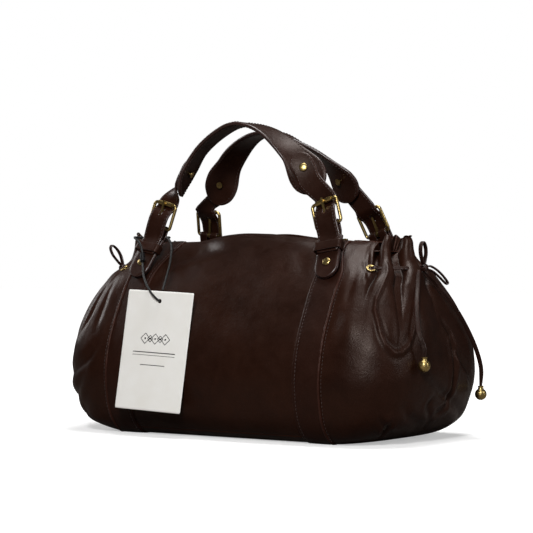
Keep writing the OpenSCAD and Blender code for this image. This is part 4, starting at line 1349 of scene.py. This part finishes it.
# ---------------------------------------------------------------- hang tag and its string
# The card's frame has its origin in the hole, x across and z up the card.
TAG_ORIGIN = np.array([-64, -102.4, 138])
CARD_HALF, CARD_BOTTOM, CARD_TOP = 40, -112, 10
CARD_CORNER = 0.6
HOLE_R = 2.2
LATTICE_Z, LATTICE_PITCH = -39, 6.2
STRING_PATH = [
    [-65.2, -96.6, 149], [-68, -88, 160], [-70, -78, 178], [-76, -68, 195], [-86, -61, 203],
    [-94.5, -52, 204.2], [-97.5, -44, 204], [-112, -39.5, 204], [-127.5, -43, 204],
    [-132.5, -53, 204.3], [-128.5, -64, 204], [-117, -70.5, 199], [-111, -73, 189],
    [-107, -77.5, 177], [-89, -97, 161], [-73, -107, 148], [-65.6, -105.8, 140.4],
    [-64, -102.4, 138], [-63.4, -99, 137.4], [-64, -97.4, 143]]


def from_card(vectors):
    return rotate(rotate(rotate(vectors, "y", 2.6), "x", -8.8), "z", 4) + TAG_ORIGIN


def card_sheet(x, z, raised, thickness):
    """Sheet bowed with the card, its outer face raised towards -y."""
    bow_y = -0.55 * np.cos(x / 40 * 1.35) - 0.5 * np.sin((z + 51) / 61 * 1.3) + 0.6
    points = from_card(np.stack([x, bow_y - raised, z], -1))
    return shell(points, grid_normals(points, points.mean((0, 1)) + [0, 60, 0]), thickness)[:2]


def tag_card():
    heights = np.linspace(CARD_BOTTOM, CARD_TOP, 91)
    margin = np.minimum(heights - CARD_BOTTOM, CARD_TOP - heights)
    inside = np.maximum(0, CARD_CORNER - margin)
    halves = CARD_HALF - CARD_CORNER + np.sqrt(np.maximum(0, CARD_CORNER ** 2 - inside ** 2))
    share, z = grid(np.linspace(-1, 1, 61), heights)
    obj = to_object("hang_tag_card", join([card_sheet(share * halves, z, 0.35, 0.7)]), [CARD])
    turn = np.linspace(0, 2 * np.pi, 28, endpoint=False)
    near, far = (from_card(np.stack([HOLE_R * np.cos(turn), np.full(28, y),
                                     HOLE_R * np.sin(turn)], -1)) for y in (-6, 6))
    boolean_cut(obj, [slot_cutter(near, far)])
    # drop any slot the cut brought in
    while len(obj.data.materials) > 1:
        obj.data.materials.pop()
    obj.data.polygons.foreach_set("material_index", [0] * len(obj.data.polygons))
    attach(obj, "hang_tag", "hang_tag")


def ink_bar(x0, z0, x1, z1, width):
    share = np.linspace(0, 1, 16)
    dx, dz = x1 - x0, z1 - z0
    length = math.hypot(dx, dz)
    side_x, side_z = -dz / length * width / 2, dx / length * width / 2
    x = np.stack([x0 + dx * share + side_x, x0 + dx * share - side_x], 1)
    z = np.stack([z0 + dz * share + side_z, z0 + dz * share - side_z], 1)
    return card_sheet(x, z, 0.39, 0.08)


def tag_ornament():
    """A row of lozenges with a bar in each, above two rules and a short rule."""
    bars = []
    for i in range(-2, 3):
        half = 5.4 if i % 2 == 0 else 3.4
        corners = [(-half, 0), (0, half), (half, 0), (0, -half), (-half, 0)]
        for (x0, z0), (x1, z1) in zip(corners, corners[1:]):
            centre = i * LATTICE_PITCH
            bars.append(ink_bar(centre + x0, LATTICE_Z + z0, centre + x1, LATTICE_Z + z1, 0.7))
    for i in range(-2, 3):
        centre = i * LATTICE_PITCH
        bars.append(ink_bar(centre - 0.9, LATTICE_Z, centre + 0.9, LATTICE_Z, 1.8))
    for half, z, width in ((26, -53, 0.9), (26, -56, 0.45), (15, -66, 0.7)):
        bars.append(ink_bar(-half, z, half, z, width))
    add_piece("hang_tag_ornament", join(bars), [INK], body="hang_tag", fix_normals=False)


def tag_string():
    path = resample(spline(STRING_PATH, np.linspace(0, 1, 900)), 420)
    add_piece("tag_string_cord", tube(path, 1.15, sides=12, ref=(0.3, 0.2, 1)), [STRING],
              node="tag_string")


tag_card()
tag_ornament()
tag_string()


# ---------------------------------------------------------------- carried-over hardware
def hardware():
    """Materials for the visible CAD pieces, and softened edges on the brass fittings."""
    special = {"zip_teeth": BRASS_TOOTH, "tag_sleeve": PLASTIC}
    for name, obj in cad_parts.items():
        if obj.hide_render:
            continue
        obj.data.materials.clear()
        obj.data.materials.append(special.get(name, BRASS))
        if name not in special:
            obj.data.polygons.foreach_set("use_smooth", [True] * len(obj.data.polygons))
            bevel = obj.modifiers.new("soft", "BEVEL")
            bevel.width = 0.00022
            bevel.segments = 2
            bevel.limit_method = "ANGLE"
            bevel.angle_limit = math.radians(38)
            bevel.harden_normals = True


hardware()

# ---------------------------------------------------------------- floor, light and camera
# From here on lengths are in metres.
scene = bpy.context.scene
FLOOR_HALF, FLOOR_POINTS = 9, 24


def studio_world():
    """White to the camera, a dim warm grey to everything else."""
    scene.view_settings.view_transform = "Standard"
    scene.view_settings.look = "None"
    world = bpy.data.worlds.new("studio")
    scene.world = world
    world.use_nodes = True
    tree = world.node_tree
    background = next(n for n in tree.nodes if n.type == "BACKGROUND")
    path = tree.nodes.new("ShaderNodeLightPath")
    mixer = tree.nodes.new("ShaderNodeMixRGB")
    mixer.inputs[1].default_value = (0.07, 0.066, 0.062, 1)
    mixer.inputs[2].default_value = (1.0, 1.0, 1.0, 1)
    tree.links.new(path.outputs["Is Camera Ray"], mixer.inputs[0])
    tree.links.new(mixer.outputs[0], background.inputs["Color"])
    background.inputs["Strength"].default_value = 1.0


def floor_material():
    """Pale and glowing brighter with distance to the camera, a dull diffuse to other rays."""
    m = Material("pale_floor")
    output = next(n for n in m.tree.nodes if n.type == "OUTPUT_MATERIAL")
    pale = m.add("ShaderNodeBsdfDiffuse")
    pale.inputs["Color"].default_value = (0.8, 0.8, 0.8, 1)
    glow = m.add("ShaderNodeEmission")
    glow.inputs["Color"].default_value = (1, 1, 1, 1)
    distance = m.add("ShaderNodeVectorMath", operation="LENGTH")
    m.put(distance.inputs[0], m.coords)
    m.put(glow.inputs["Strength"],
          m.remap(distance.outputs["Value"], source=(0.35, 1.6), target=(0.42, 1.05)))
    seen = m.add("ShaderNodeAddShader")
    path = m.add("ShaderNodeLightPath")
    chooser = m.add("ShaderNodeMixShader")
    m.put(seen.inputs[0], pale.outputs[0])
    m.put(seen.inputs[1], glow.outputs[0])
    dull = m.add("ShaderNodeBsdfDiffuse")
    dull.inputs["Color"].default_value = (0.2, 0.18, 0.165, 1)
    m.put(chooser.inputs[0], path.outputs["Is Camera Ray"])
    m.put(chooser.inputs[1], dull.outputs[0])
    m.put(chooser.inputs[2], seen.outputs[0])
    m.put(output.inputs["Surface"], chooser.outputs[0])
    return m.data


def floor():
    count = FLOOR_POINTS
    ticks = np.linspace(-FLOOR_HALF, FLOOR_HALF, count)
    verts = [(x, y, 0.0) for x in ticks for y in ticks]
    faces = [(i * count + j, (i + 1) * count + j, (i + 1) * count + j + 1, i * count + j + 1)
             for i in range(count - 1) for j in range(count - 1)]
    mesh = bpy.data.meshes.new("floor")
    mesh.from_pydata(verts, [], faces)
    obj = bpy.data.objects.new("floor", mesh)
    scene.collection.objects.link(obj)
    mesh.materials.append(floor_material())


def softbox(name, location, target_x, width, height, power):
    """Rectangular light aimed at the middle height of the body."""
    light = bpy.data.lights.new(name, "AREA")
    light.shape = "RECTANGLE"
    light.size = width
    light.size_y = height
    light.energy = power
    obj = bpy.data.objects.new(name, light)
    obj.location = location
    obj.rotation_mode = "QUATERNION"
    aim = Vector((target_x, 0, 0.15)) - Vector(location)
    obj.rotation_quaternion = aim.to_track_quat("-Z", "Y")
    scene.collection.objects.link(obj)


def camera():
    """Level view from the front right."""
    azimuth, distance = math.radians(35), 1.992
    target = Vector((-0.002, -0.0015, 0.1735))
    back = Vector((math.sin(azimuth), -math.cos(azimuth), 0.0))
    obj = bpy.data.objects.new("camera", bpy.data.cameras.new("camera"))
    scene.collection.objects.link(obj)
    obj.location = target + back * distance
    obj.rotation_mode = "QUATERNION"
    obj.rotation_quaternion = (-back).to_track_quat("-Z", "Y")
    obj.data.sensor_width = 36
    obj.data.lens = 128.6
    obj.data.clip_start = 0.05
    obj.data.clip_end = 40
    scene.camera = obj


studio_world()
floor()
softbox("top", location=(0.05, 0.1, 1.6), target_x=0, width=0.9, height=0.7, power=20)
softbox("key", location=(0.9, -1.9, 1.3), target_x=0, width=0.45, height=0.55, power=38)
softbox("side", location=(2.0, 0.35, 0.9), target_x=0.1, width=0.4, height=0.8, power=7)
softbox("left", location=(-1.9, 0.1, 1.0), target_x=-0.1, width=0.4, height=0.7, power=10)
camera()
